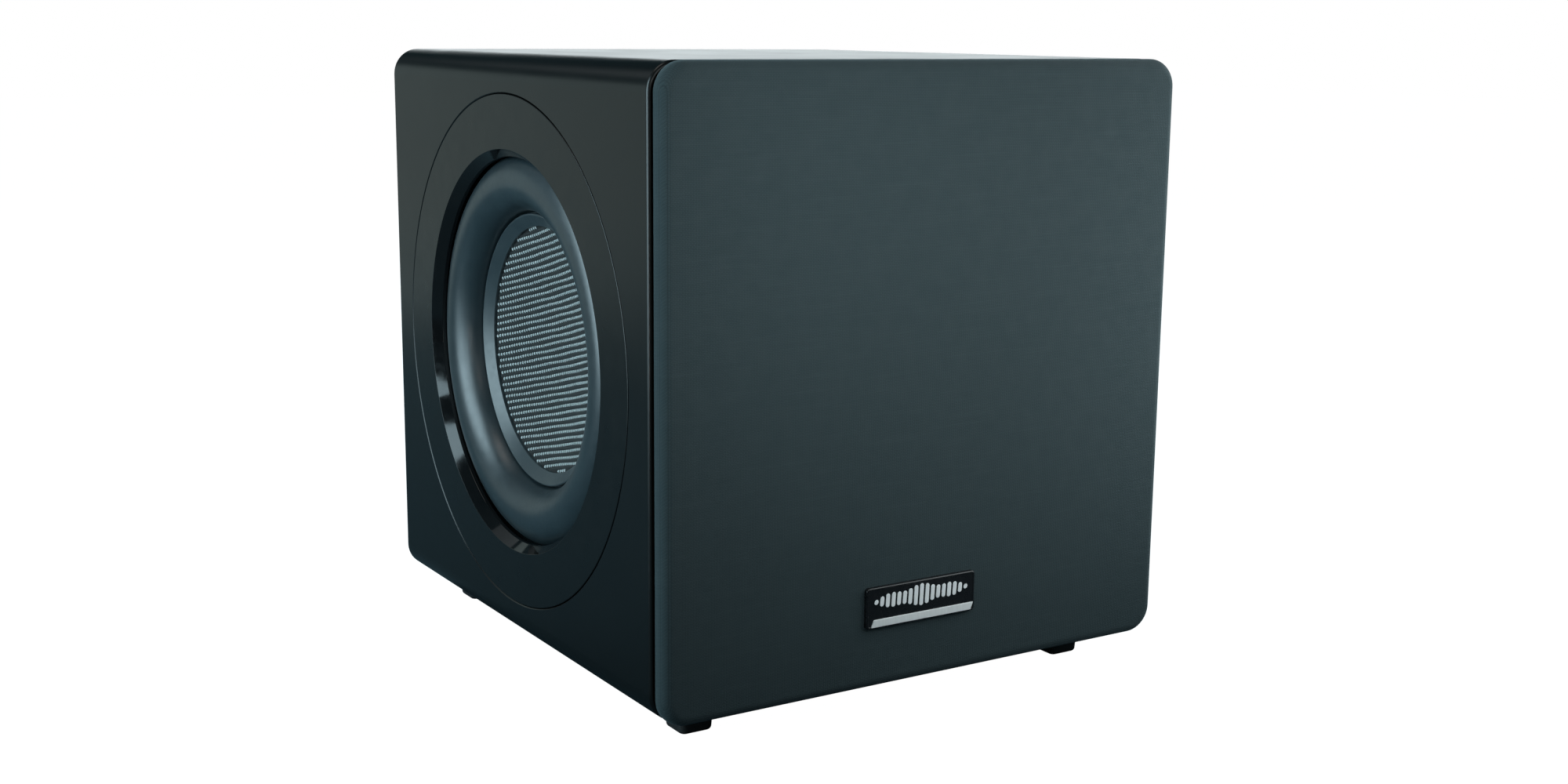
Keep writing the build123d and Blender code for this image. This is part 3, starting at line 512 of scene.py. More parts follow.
def stretched_cloth():
    """One skin of cloth: the band wrapped behind the frame, the sides, the rounded edge and the front."""
    rings = []

    def add_ring(inset, z):
        rings.append(loop(CABINET_W - 2 * inset, CABINET_H - 2 * inset, EDGE_R - inset, z, 12))

    for share in (1.0, 0.6, 0.3):
        add_ring(WRAP * share, CLOTH_BACK)
    for a in np.radians((0, 20, 45, 70)):
        add_ring(BACK_ROUND * (1 - sin(a)), CLOTH_BACK + BACK_ROUND * (1 - cos(a)))
    flat_start, flat_end = CLOTH_BACK + BACK_ROUND, CLOTH_OUT - CLOTH_ROUND
    for share in (0.0, 0.5, 1.0):
        add_ring(0, flat_start + share * (flat_end - flat_start))
    for s in range(1, 13):
        a = radians(90 * s / 12)
        add_ring(CLOTH_ROUND * (1 - cos(a)), flat_end + CLOTH_ROUND * sin(a))
    for inset in (5.5, 7.0, FLAT_INSET):
        add_ring(inset, CLOTH_OUT)
    n = len(rings[0])
    points = [p for ring in rings for p in ring]
    return points, skin_faces(n, len(rings)), range(len(points) - n, len(points))


def make_cloth():
    points, faces, boundary = stretched_cloth()
    bm = bmesh.new()
    verts = [bm.verts.new(p) for p in points]
    for f in (*faces, boundary):
        bm.faces.new([verts[i] for i in f])
    bm.normal_update()
    # The front is cut into a square grid, fine enough to dip over the frame's round window.
    reaches = CABINET_W / 2 - FLAT_INSET, CABINET_H / 2 - FLAT_INSET
    for axis, reach in enumerate(reaches):
        for k in range(1, FRONT_GRID):
            centre, normal = [0, 0, 0], [0, 0, 0]
            centre[axis], normal[axis] = -reach + 2 * reach * k / FRONT_GRID, 1
            inner = [f for f in bm.faces if all(
                v.co.z > CLOTH_OUT - 1e-6 and all(abs(v.co[n]) <= reaches[n] + 0.01 for n in (0, 1))
                for v in f.verts)]
            edges = {e for f in inner for e in f.edges}
            verts_in = {v for f in inner for v in f.verts}
            bmesh.ops.bisect_plane(bm, geom=inner + list(edges) + list(verts_in), plane_co=centre,
                                   plane_no=normal, dist=1e-4)
    for v in bm.verts:
        if v.co.z > CLOTH_OUT - 1e-6:
            far = hypot(v.co.x, v.co.y)
            if far < WINDOW_R:
                share = 1 - (far / WINDOW_R) ** 2
                v.co.z -= WINDOW_DIP * share * share
            v.co.z -= CLOTH_WANDER * (0.5 + 0.5 * noise.noise(Vector((v.co.x / 60, v.co.y / 60, 3.1))))
    for f in bm.faces:
        f.smooth = True
    mesh = bpy.data.meshes.new("grille_cloth_sheet")
    bm.to_mesh(mesh)
    bm.free()
    mesh.transform(Matrix.Scale(MM, 4))
    mesh.transform(FRONT)
    mesh.materials.append(CLOTH)
    obj = new_object("grille_cloth_sheet", mesh)
    skin = obj.modifiers.new("skin", "SOLIDIFY")
    skin.thickness = CLOTH_SKIN * MM
    skin.offset = -1
    return obj


cloth = make_cloth()
piece(cloth, "grille", "grille_cloth", "grille_cloth")

# The badge: a gloss plate with a raised rim, a plain row of bars for a mark and a slanted silver strip.
badge_low, badge_high = local_box("badge_plate", FRONT)
badge_w, badge_h = badge_high[0] - badge_low[0], badge_high[1] - badge_low[1]
badge_x, badge_y = (badge_low[0] + badge_high[0]) / 2, (badge_low[1] + badge_high[1]) / 2
badge_top = badge_high[2]
BADGE = moved(FRONT, badge_x, badge_y)


def badge_plate():
    """A plate with a rounded edge and a narrow rim round its slightly sunk face."""
    corner, edge = 1.5, 0.5

    def ring(inset, ring_corner, z):
        return loop(badge_w - 2 * inset, badge_h - 2 * inset, ring_corner, z)

    loops = [ring(0, corner, badge_low[2])]
    for a in np.radians((0, 30, 60, 90)):
        inset = edge * (1 - cos(a))
        loops.append(ring(inset, corner - inset, badge_top - edge * (1 - sin(a))))
    loops += [ring(0.8, 0.8, badge_top), ring(0.95, 0.7, badge_top - 0.15), ring(1.05, 0.6, badge_top - 0.2)]
    return build("badge_plate_rimmed", BADGE, *lofted(loops), ["badge_black"])


def bar(x, y, width, height, low, high, lean=0.0):
    """A round-ended raised bar, leaning over by lean millimetres from foot to top."""
    edge = 0.12
    loops = []
    for inset, z in ((0, low), (0, high - edge), (edge * 0.4, high - edge * 0.2), (edge, high)):
        ring = loop(width - 2 * inset, height - 2 * inset, width / 2 - inset, z, 5)
        loops.append([(x + px + lean * py / height, y + py, pz) for px, py, pz in ring])
    return lofted(loops)


def badge_marks():
    """A plain row of bars whose heights swell and dip, in the lettering's place."""
    count, row_w, rise, bar_w, lean = 17, 42.0, 2.3, 1.75, 0.35
    least, most = 1.9, 6.8
    parts = []
    for i in range(count):
        t = i / (count - 1)
        swell = sin(pi * t) ** 0.7
        size = least + most * swell * (0.55 + 0.45 * cos(2.6 * pi * (t - 0.5)) ** 2)
        parts.append(bar(row_w * (t - 0.5), rise, bar_w, size, badge_top - 0.2, badge_top + 0.05, lean))
    return build("badge_bars", BADGE, *join_parts(parts), [BADGE_MARK])


strip_low, strip_high = local_box("badge_strip", FRONT)


def badge_strip():
    """A slanted light strip with a row of small dark dashes."""
    lean, edge, dashes, dash_pitch = 1.2, 0.12, 12, 3.0
    left, right = strip_low[0] - badge_x, strip_high[0] - badge_x
    low, high = strip_low[1] - badge_y, strip_high[1] - badge_y
    outline = [(left, low), (right - lean, low), (right, high), (left + lean, high)]
    loops = []
    for inset, z in ((0, badge_top - 0.2), (0, strip_high[2] - 0.1), (edge, strip_high[2])):
        loops.append([(x + inset * (1 if x < 0 else -1), y + inset * (1 if y == low else -1), z)
                      for x, y in outline])
    parts = [lofted(loops)]
    for i in range(dashes):
        parts.append(bar(dash_pitch * (i - 5.5), (low + high) / 2, 0.9, 1.3, strip_high[2] - 0.1,
                         strip_high[2] - 0.01, 0.3))
    index = [int(k > 0) for k, (_, faces) in enumerate(parts) for _ in faces]
    return build("badge_strip_fine", BADGE, *join_parts(parts), ["badge_silver", "badge_black"], index)


piece(badge_plate(), "grille", "badge_black", "badge_plate")
piece(badge_marks(), "grille", "badge_silver")
piece(badge_strip(), "grille", "badge_silver", "badge_strip")

# ------------------------ side radiators

TRIM_R, TRIM_T, THROAT_R, LIP_R = 102.5, 6.5, 78.0, 81.0
ROLL_R, ROLL_HALF, ROLL_LEVEL, ROLL_SKIN = 68.2, 12.2, -15.0, 1.2
RING_R, RING_T = 55.2, 3.1
DISH_R, DISH_LEVEL, DISH_SAG, DISH_T = 50.0, -17.0, 5.0, 1.0
DISH_BIG = (DISH_R ** 2 + DISH_SAG ** 2) / (2 * DISH_SAG)
FLOAT_PITCH, ROW_PITCH, ROW_REACH = 1.92, 2.6, 28
WEAVE_ROWS = range(-int(DISH_R / ROW_PITCH) - 1, int(DISH_R / ROW_PITCH) + 2)


def roll_outline(centre, half, level, skin, outer_lip, inner_lip):
    """The section of a half-round rubber surround with a glue lip on each side."""
    outline = [(outer_lip, level), (outer_lip, level - 1), (centre + half - skin, level - 1)]
    outline += arc(centre, level, half - skin, 0, 180, 26)
    outline += [(centre - half + skin, level - 2), (inner_lip, level - 2), (inner_lip, level - 1)]
    outline += [(centre - half - 0.5, level - 1), (centre - half - 0.1, level - 0.7)]
    outline += arc(centre, level, half, 180, 0, 40)
    outline += [(centre + half + 0.15, level + 0.02)]
    return outline


def dish_height(u, v):
    """Level of the woven bowl's face at a point."""
    return DISH_LEVEL - DISH_SAG + DISH_BIG - np.sqrt(DISH_BIG ** 2 - u ** 2 - v ** 2)


def dish_base(name, place):
    top = [(r, float(dish_height(r, 0.0))) for r in np.linspace(0, DISH_R, 24)]
    rim = [(RING_R, DISH_LEVEL), (RING_R, DISH_LEVEL - DISH_T)]
    under = [(r, z - DISH_T) for r, z in reversed(top)]
    return lathe(name, place, top + rim + under, [DISH_BASE], 96)


def weave_wave(row, u):
    """How far a row of the weave wanders off its line."""
    return 0.09 * sin(0.21 * u + 1.3 * row)


def on_dish(u, v, lift):
    """The point of the bowl at a place in the weave's own turned grid, raised by lift."""
    cos_a, sin_a = cos(WEAVE_ANGLE), sin(WEAVE_ANGLE)
    x, y = u * cos_a - v * sin_a, u * sin_a + v * cos_a
    return x, y, float(dish_height(x, y)) + lift


def squared(value):
    """A cosine or sine of a slightly squarer round."""
    return copysign(abs(value) ** 0.8, value)


def weave_floats():
    """The bright glass floats: a small closed dome for each place where a warp bundle shows over the weft."""
    across, along = 8, 6
    parts = []
    for row in WEAVE_ROWS:
        v0 = row * ROW_PITCH
        for k in range(-ROW_REACH, ROW_REACH + 1):
            u0 = (k + 0.5 * (row % 2)) * FLOAT_PITCH
            if hypot(u0, v0) > DISH_R - 0.5:
                continue
            seed = Vector((u0 * 0.7, v0 * 0.7, 5.0))
            tall = 0.70 + 0.10 * noise.noise(seed)
            wide = 0.43 + 0.05 * noise.noise(seed * 2.3)
            lean = 0.12 * noise.noise(seed * 1.7)
            rings = []
            for j in range(along + 1):
                s = -1 + 2 * j / along
                breadth = wide * sqrt(max(0.0, 1 - abs(s) ** 3.2)) + 0.02
                hump = 0.50 * sqrt(max(0.0, 1 - s * s)) + 0.02
                v = v0 + s * tall + weave_wave(row, u0)
                ring = []
                for i in range(across):
                    a = 2 * pi * i / across
                    lift = hump * squared(sin(a))
                    ring.append(on_dish(u0 + breadth * squared(cos(a)) + lean * s, v,
                                        0.04 + (lift if lift > 0 else 0.45 * lift)))
                rings.append(ring)
            parts.append(lofted(rings))
    return join_parts(parts)


def weave_wefts():
    """The dark weft bundles that run between the rows of floats."""
    step, half_w, half_t = 1.2, 0.52, 0.2
    angles = np.linspace(0, 2 * pi, 6, endpoint=False)
    parts = []
    for row in WEAVE_ROWS:
        v0 = (row + 0.5) * ROW_PITCH
        if abs(v0) > DISH_R - 1:
            continue
        reach = sqrt((DISH_R - 0.2) ** 2 - v0 * v0)
        count = max(4, int(2 * reach / step))
        rings = []
        for k in range(count + 1):
            u = -reach + 2 * reach * k / count
            v = v0 + weave_wave(row, u)
            rings.append([on_dish(u, v + half_w * cos(a), 0.05 + half_t * sin(a)) for a in angles])
        parts.append(lofted(rings))
    return join_parts(parts)


def spider_outline(inner, outer, neck, rim, level, count, height, thickness):
    """A corrugated spider whose pleats are smooth waves between a neck and a flat rim."""
    top = []
    for k in range(count * 10 + 1):
        t = k / (count * 10)
        wave = height * 0.5 * (1 - cos(2 * pi * count * t))
        top.append((inner + (outer - inner) * t, level + thickness + wave))
    under = [(r, z - thickness) for r, z in reversed(top)]
    return [(neck, level + thickness), *top, (rim, level + thickness), (rim, level), *under, (neck, level)]


FLOATS, WEFTS = weave_floats(), weave_wefts()


def make_radiator(side, place):
    moving = f"{side}_piston"
    trim = [(TRIM_R, 0, 0.4), (TRIM_R, -TRIM_T, 0.1), (88, -TRIM_T), (88, -5.5), (THROAT_R, -5.5, 0.2, 1),
            (THROAT_R, -3.9, 0.35, 1), (LIP_R, 0, 0.22)]
    piece(lathe(f"{side}_trim_ring_turned", place, trim, [SATIN_TRIM, POLISHED], 256, 28), "cabinet",
          "trim_lacquer", f"{side}_trim_ring")
    roll = roll_outline(ROLL_R, ROLL_HALF, ROLL_LEVEL, ROLL_SKIN, outer_lip=85.8, inner_lip=DISH_R)
    flexing_ring(f"{side}_surround_roll", place, roll, 192, 50, ROLL, moving, "roll_rubber",
                 f"{side}_radiator_surround", 80.4, 56.0)
    ring_low = DISH_LEVEL + DISH_T
    landing = [(RING_R, ring_low + RING_T, 0.35), (RING_R, ring_low), (DISH_R, ring_low),
               (DISH_R, ring_low + 0.28, 0.1), (RING_R - 0.6, ring_low + 3.4, 0.5)]
    piece(lathe(f"{side}_landing_ring", place, landing, [LANDING], 192, 50), moving, "ring_rubber",
          f"{side}_radiator_ring")
    piece(dish_base(f"{side}_dish_bowl", place), moving, "woven_fibre", f"{side}_radiator_dish")
    for name, shape, material in (("floats", FLOATS, DISH_FLOAT), ("wefts", WEFTS, DISH_WEFT)):
        piece(build(f"{side}_dish_{name}", place, *shape, [material], sharp=70, weighted=False), moving,
              "woven_fibre")
    pleats = spider_outline(inner=18, outer=43.5, neck=15, rim=50, level=-36, count=5, height=2.0,
                            thickness=0.6)
    flexing_ring(f"{side}_spider_pleats", place, pleats, 96, 60, "spider_cloth", moving,
                 "spider_cloth", f"{side}_radiator_spider", 44.0, 18.0)


for side_name, side_place in SIDES.items():
    make_radiator(side_name, side_place)

# ------------------------ front driver

driver_roll = roll_outline(centre=62.5, half=7.0, level=-4.0, skin=1.0, outer_lip=73.4, inner_lip=50.9)
flexing_ring("driver_surround_roll", FRONT, driver_roll, 160, 50, ROLL, "driver_piston", "roll_rubber",
             "driver_surround", 69.5, 55.5)
driver_pleats = spider_outline(inner=18, outer=44, neck=16.4, rim=53, level=-31, count=6, height=1.6,
                               thickness=0.6)
flexing_ring("driver_spider_pleats", FRONT, driver_pleats, 96, 60, "spider_cloth", "driver_piston",
             "spider_cloth", "driver_spider", 44.5, 18.0)

# The right-hand lead's fixed end, the bottom of its loop and its end on the cone.
LEAD_STOPS = (11.5, -69.6, -20.0), (11.0, -53.0, -26.0), (9.0, -35.0, -17.7)


def lead_path(side, t):
    """The flying lead's route in the driver's frame: from the terminal, in a slack loop, to the cone."""
    shares = ((1 - t) * (1 - 2 * t), 4 * t * (1 - t), t * (2 * t - 1))
    x, y, z = (sum(share * stop[k] for share, stop in zip(shares, LEAD_STOPS)) for k in range(3))
    return Vector((side * x, y, z))


def make_leads():
    """Two flying leads, each of three twisted strands."""
    steps, round_steps, strand_r, twist_r, turns = 90, 6, 0.26, 0.3, 9
    parts = []
    for side in (-1, 1):
        for strand in range(3):
            rings = []
            for i in range(steps + 1):
                t = i / steps
                along = (lead_path(side, min(t + 0.01, 1)) - lead_path(side, max(t - 0.01, 0))).normalized()
                across = along.cross(Vector((1, 0, 0))).normalized()
                angle = 2 * pi * (turns * t + strand / 3)
                out = across * cos(angle) + along.cross(across) * sin(angle)
                centre = lead_path(side, t) + out * twist_r
                ring = []
                for k in range(round_steps):
                    a = 2 * pi * k / round_steps
                    spoke = out * cos(a) + along.cross(out) * sin(a)
                    ring.append(tuple(centre + spoke * strand_r))
                rings.append(ring)
            parts.append(lofted(rings))
    leads = build("driver_leads_twisted", FRONT, *join_parts(parts), ["copper_coil"], sharp=60)
    flexing(leads, "driver_braids")


make_leads()

# ------------------------ feet

foot_low, foot_high = local_box("rubber_feet", GROUND)
FOOT_H = foot_high[2]
FOOT_W, FOOT_TAPER, FOOT_CORNER, FOOT_EDGE = 15.0, 1.0, 2.8, 1.6
FOOT_BORE_R, FOOT_BORE_H, FOOT_SCREW_R = 3.8, 4.0, 1.7


def foot_loops():
    """A square rubber foot: down its screw hole and bore, over the rounded sole and up its tapered sides."""
    def width_at(z):
        return FOOT_W - FOOT_TAPER * (1 - z / FOOT_H)

    bore = ((FOOT_SCREW_R, FOOT_H), (FOOT_SCREW_R, FOOT_BORE_H), (FOOT_BORE_R - 0.2, FOOT_BORE_H),
            (FOOT_BORE_R, FOOT_BORE_H - 0.2), (FOOT_BORE_R, 0.35), (FOOT_BORE_R + 0.1, 0.1),
            (FOOT_BORE_R + 0.35, 0))
    loops = [loop(2 * radius, 2 * radius, radius, z) for radius, z in bore]
    sole = FOOT_W - FOOT_TAPER
    for s in range(7):
        a = radians(15 * s)
        inset = FOOT_EDGE * (1 - sin(a))
        width = sole - 2 * inset
        loops.append(loop(width, width, FOOT_CORNER - inset, FOOT_EDGE * (1 - cos(a))))
    for z in (5.0, 8.5, FOOT_H - 0.3):
        loops.append(loop(width_at(z), width_at(z), FOOT_CORNER, z))
    loops.append(loop(FOOT_W - 0.4, FOOT_W - 0.4, FOOT_CORNER - 0.2, FOOT_H))
    return loops


def make_feet():
    """Four feet, one at each corner of the CAD node's box."""
    loops = foot_loops()
    parts = []
    for x in (foot_low[0] + FOOT_W / 2, foot_high[0] - FOOT_W / 2):
        for y in (foot_low[1] + FOOT_W / 2, foot_high[1] - FOOT_W / 2):
            spots = [(px + x, py + y, pz) for ring in loops for px, py, pz in ring]
            parts.append((spots, skin_faces(len(loops[0]), len(loops), closed=True)))
    return build("rubber_feet_moulded", GROUND, *join_parts(parts), ["foot_rubber"])


piece(make_feet(), "cabinet", "foot_rubber", "rubber_feet")

# ------------------------ rear panel

KNOB_R, KNOB_H, KNOB_GAP = 9.0, 12.0, 0.6
FLUTES, FLUTE_DEPTH = 24, 0.28
PRINT_LOW, PRINT_HIGH, LETTER_LEVEL = 0.005, 0.035, 0.03
DIAL_SWEEP, JACK_R = 150.0, 6.0


def make_knob(node):
    """A fluted knob with a dished top and a white pointer let into it."""
    place = moved(REAR, *middle(node, REAR)[:2])
    outline = [(0, -11), (2.8, -11, 0.2), (3.0, -10), (3.0, KNOB_GAP), (KNOB_R, KNOB_GAP, 0.25),
               (KNOB_R, 2.4, 0.3), (8.5, 3.1, 0.3), (8.35, 4.0, 0.2), (8.05, 11.0, 0.7), (7.1, KNOB_H, 0.4),
               (6.2, KNOB_H - 0.05, 0.3), (5.4, 11.6, 1.0), (0, 11.5)]

    def flutes(r, z, turn):
        if r < 7.9 or z < 3.6 or z > 11.1:
            return r
        return r - FLUTE_DEPTH * max(0.0, cos(FLUTES * turn)) ** 0.6

    piece(lathe(node + "_fluted", place, outline, ["moulded_black"], 240, 35, 4, flutes), node,
          "moulded_black", node)
    pointer = join_parts([bar(0, 5.0, 0.9, 5.0, 11.4, 11.75), bar(0, 8.22, 0.9, 0.5, 3.9, 10.4)])
    mark = build(node + "_pointer", place, *pointer, [PRINT])
    piece(mark, node, "badge_silver")


def flat_text(text, size, x, y):
    """The mesh of a short generic label, centred on a spot of the panel."""
    curve = bpy.data.curves.new("label", "FONT")
    curve.body, curve.size = text, size
    curve.align_x, curve.align_y = "CENTER", "CENTER"
    obj = bpy.data.objects.new("label", curve)
    mesh = bpy.data.meshes.new_from_object(obj)
    points = [(v.co.x + x, v.co.y + y, LETTER_LEVEL) for v in mesh.vertices]
    faces = [tuple(f.vertices) for f in mesh.polygons]
    bpy.data.objects.remove(obj)
    bpy.data.curves.remove(curve)
    bpy.data.meshes.remove(mesh)
    return points, faces


def tick(x, y, radius, angle, length, width):
    """A printed stroke of a dial, pointing away from its centre; angle 0 is up, positive to the right."""
    a = radians(angle)
    out, side = Vector((sin(a), cos(a))), Vector((cos(a), -sin(a)))
    here = Vector((x, y))
    corners = [here + out * (radius + length * e) + side * (width / 2 * f) for e, f in
               ((0, -1), (1, -1), (1, 1), (0, 1))]
    return lofted([[(c.x, c.y, z) for c in corners] for z in (PRINT_LOW, PRINT_HIGH)])


def ring_print(x, y, inner, outer, start, end, steps=48):
    """A printed arc, from one dial angle to another."""
    rings = []
    for k in range(steps + 1):
        a = radians(start + (end - start) * k / steps)
        rings.append([(x + r * sin(a), y + r * cos(a), z) for r, z in
                      ((inner, PRINT_LOW), (outer, PRINT_LOW), (outer, PRINT_HIGH), (inner, PRINT_HIGH))])
    return lofted(rings)


def dial_spots(count):
    """Evenly spaced angles over a knob's sweep, in degrees from the top."""
    return [-DIAL_SWEEP + 2 * DIAL_SWEEP * k / (count - 1) for k in range(count)]


def make_print():
    """The scales of the knobs, switches and sockets: plain ticks, arcs and numbers."""
    parts = []
    for node, labels, reach in (("volume_knob", range(11), 15.0),
                                ("crossover_knob", range(40, 121, 20), 15.6)):
        x, y = middle(node, REAR)[:2]
        parts.append(ring_print(x, y, 10.6, 10.85, -DIAL_SWEEP, DIAL_SWEEP))
        for k, angle in enumerate(dial_spots(21)):
            parts.append(tick(x, y, 10.8, angle, 1.7 if k % 2 == 0 else 0.9, 0.3))
        for label, a in zip(labels, np.radians(dial_spots(len(labels)))):
            parts.append(flat_text(str(label), 2.7, x + reach * sin(a), y + 15.0 * cos(a)))
    for node, labels in (("phase_lever", ("0", "180")), ("mode_lever", ("1", "2"))):
        x, y = middle("mode_lever", REAR)[0], middle(node, REAR)[1]
        for start in (50, 230):
            parts.append(ring_print(x, y, 7.4, 7.65, start, start + 80, 16))
        for label, shift in zip(labels, (-10.4, 10.8)):
            parts.append(flat_text(label, 2.5, x + shift, y))
    low, high = local_box("line_jacks", REAR)
    y = (low[1] + high[1]) / 2
    for x, label in ((low[0] + JACK_R, "1"), (high[0] - JACK_R, "2")):
        parts.append(ring_print(x, y, 7.3, 7.55, 0, 360))
        parts.append(flat_text(label, 3.0, x, y - 10.4))
    piece(build("panel_print", REAR, *join_parts(parts), [PRINT]), "cabinet", "badge_silver")


def make_jacks():
    """Two gold line sockets with hexagonal collars, one insert white and one red."""
    low, high = local_box("line_jacks", REAR)
    y = (low[1] + high[1]) / 2
    barrels = []
    outline = [(3.4, -13.8), (3.4, 8.9, 0.15), (3.6, 9.0, 0.1), (4.15, 8.6, 0.2), (4.15, 5.2), (3.98, 5.0),
               (3.98, 4.4), (4.15, 4.2), (4.15, 1.6), (5.4, 1.6, 0.2), (6.0, 1.1, 0.2), (6.0, 0), (4.3, 0),
               (4.15, -3), (5.2, -3), (5.2, -13.8)]

    def collar(r, z, turn):
        if r < 5.3 or z < -0.5:
            return r
        return min(r, 5.35 / cos((turn + pi / 6) % (pi / 3) - pi / 6))

    spots, quads = revolved(soften(outline, 3)[0], 96, collar)
    for x in (low[0] + JACK_R, high[0] - JACK_R):
        barrels.append(([(px + x, py + y, pz) for px, py, pz in spots], quads))
    jacks = build("line_jacks_turned", REAR, *join_parts(barrels), ["jack_metal"], weld=True,
                  sharp=30)
    piece(jacks, "cabinet", "jack_metal", "line_jacks")
    outline = [(1.65, -8), (3.38, -8), (3.38, 8.0, 0.3), (3.0, 8.4, 0.2), (2.3, 8.4, 0.2), (1.9, 7.9, 0.2),
               (1.65, 7.6, 0.1)]
    for x, tint, name in ((low[0] + JACK_R, WHITE_INSERT, "white"), (high[0] - JACK_R, "jack_red", "red")):
        insert = lathe(f"line_jack_insert_{name}", moved(REAR, x, y), outline, [tint], 64)
        piece(insert, "cabinet", "jack_red", "line_jack_inserts")


def make_lamp():
    """A domed blue lamp in a thin bezel."""
    place = moved(REAR, *middle("status_led", REAR)[:2])
    outline = [(0, -14), (1.68, -14), (1.68, 0.55, 0.1)]
    outline += arc(0, 0.6, 1.62, 6, 88, 8) + [(0, 2.22)]
    dome = lathe("status_led_dome", place, outline, ["lamp_blue"], 48)
    piece(dome, "cabinet", "lamp_blue", "status_led")
    bezel = [(1.9, 0.0), (1.9, 0.5, 0.15), (2.9, 0.45, 0.2), (3.1, 0.0)]
    bezel = lathe("status_led_bezel", place, bezel, ["moulded_black"], 48)
    piece(bezel, "cabinet", "moulded_black")


make_knob("volume_knob")
make_knob("crossover_knob")
make_print()
make_jacks()
make_lamp()
for node_name, body_name, edge in (
        ("phase_lever", "phase_lever", 0.35), ("mode_lever", "mode_lever", 0.35),
        ("switch_bodies", "cabinet", 0.25), ("power_rocker", "power_rocker", 0.45),
        ("mains_inlet", "cabinet", 0.4), ("inlet_pins", "cabinet", 0.3),
        ("fuse_drawer", "fuse_drawer", 0.35)):
    slot_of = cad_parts[node_name].material_slots[0].material.name.split(".")[0]
    piece(refine(node_name, edge), body_name, slot_of, node_name, material=FINISHES[slot_of])

# ------------------------ inside

pad_low, pad_high = local_box("acoustic_wadding", GROUND)
PAD_T = 8


def wadding_pad(name, low_z, high_z):
    """A loose fibre pad: a fine box whose faces swell and wander."""
    nx, ny, nz = 30, 34, 4
    grid = {}
    points, faces = [], []
    width, length, thick = pad_high[0] - pad_low[0], pad_high[1] - pad_low[1], high_z - low_z

    def at(i, j, k):
        if (i, j, k) not in grid:
            x, y, z = (i / nx - 0.5), (j / ny - 0.5), (k / nz - 0.5)
            round_off = 1 - 0.5 * (abs(2 * x) ** 8 + abs(2 * y) ** 8) / 2
            lump = noise.noise(Vector((x * 9, y * 9, z * 3 + low_z)))
            grid[i, j, k] = len(points)
            points.append((x * (width - 3) + 1.2 * noise.noise(Vector((y * 14, z * 5, 1.5))),
                           y * (length - 3) + 1.2 * noise.noise(Vector((x * 14, z * 5, 7.5))),
                           (low_z + high_z) / 2 + z * (thick - 1.2) * round_off * (0.88 + 0.12 * lump)))
        return grid[i, j, k]

    for k in (0, nz):
        faces += [(at(i, j, k), at(i + 1, j, k), at(i + 1, j + 1, k), at(i, j + 1, k))
                  for i in range(nx) for j in range(ny)]
    for j in (0, ny):
        faces += [(at(i, j, k), at(i + 1, j, k), at(i + 1, j, k + 1), at(i, j, k + 1))
                  for i in range(nx) for k in range(nz)]
    for i in (0, nx):
        faces += [(at(i, j, k), at(i, j + 1, k), at(i, j + 1, k + 1), at(i, j, k + 1))
                  for j in range(ny) for k in range(nz)]
    centre = middle("acoustic_wadding", GROUND)
    pad = build(name, moved(GROUND, centre[0], centre[1]), points, faces, ["wadding"], sharp=80)
    piece(pad, "cabinet", "wadding", "acoustic_wadding")


piece(refine("foam_gaskets", 0.3, 3, name="foam_gaskets_pressed"), "cabinet", "foam",
                "foam_gaskets", material=FINISHES["foam"])
wadding_pad("wadding_pad_low", pad_low[2], pad_low[2] + PAD_T)
wadding_pad("wadding_pad_high", pad_high[2] - PAD_T, pad_high[2])

# ------------------------ carried-over CAD parts

for node_name, node_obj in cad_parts.items():
    names = [s.material.name.split(".")[0] for s in node_obj.material_slots if s.material]
    slot_name = names[0] if names else ""
    if slot_name in FINISHES:
        for s in node_obj.material_slots:
            s.material = FINISHES[slot_name]
    else:
        print("no finish for", node_name, names)

# ------------------------ floor, light and camera


def camera_only(tree, seen, lit, output):
    """Show one shader to the camera and the other to every other ray."""
    camera_ray = add(tree, "ShaderNodeLightPath").outputs["Is Camera Ray"]
    pick = add(tree, "ShaderNodeMixShader", {0: camera_ray, 1: lit.outputs[0], 2: seen.outputs[0]})
    tree.links.new(pick.outputs[0], output.inputs["Surface"])


def make_floor():
    """A pale floor that the camera sees as white, and that throws little light back at the object."""
    mesh = bpy.data.meshes.new("floor")
    bm = bmesh.new()
    bmesh.ops.create_grid(bm, x_segments=8, y_segments=8, size=6.0)
    bm.to_mesh(mesh)
    bm.free()
    floor = new_object("floor", mesh)
    floor.location = (0, 0, cad_low[2])
    mat, tree, bsdf = new_material("pale_floor", 0.9, Specular_IOR_Level=0.0)
    tone = spread(tree, noise_at(tree, coordinates(tree), 2.0, 2.0), 0.0, 1.0)
    tint = blend_colours(tree, tone, (0.033, 0.058, 0.070), (0.039, 0.066, 0.080))
    tree.links.new(tint, bsdf.inputs["Base Color"])
    white = add(tree, "ShaderNodeEmission", {"Color": (1, 1, 1, 1), "Strength": 1.0})
    both = add(tree, "ShaderNodeAddShader", {0: bsdf.outputs[0], 1: white.outputs[0]})
    camera_only(tree, both, bsdf, tree.nodes["Material Output"])
    mesh.materials.append(mat)


make_floor()


def area_light(name, place, target, width, height, power, colour):
    data = bpy.data.lights.new(name, "AREA")
    data.shape = "RECTANGLE"
    data.size, data.size_y = width, height
    data.energy = power
    data.color = colour
    obj = new_object(name, data)
    obj.visible_camera = False
    obj.location = place
    obj.rotation_euler = (Vector(target) - Vector(place)).to_track_quat("-Z", "Y").to_euler()


COOL, WARM, BLUE = (0.90, 0.98, 1.0), (1.0, 0.97, 0.92), (0.66, 0.90, 1.0)
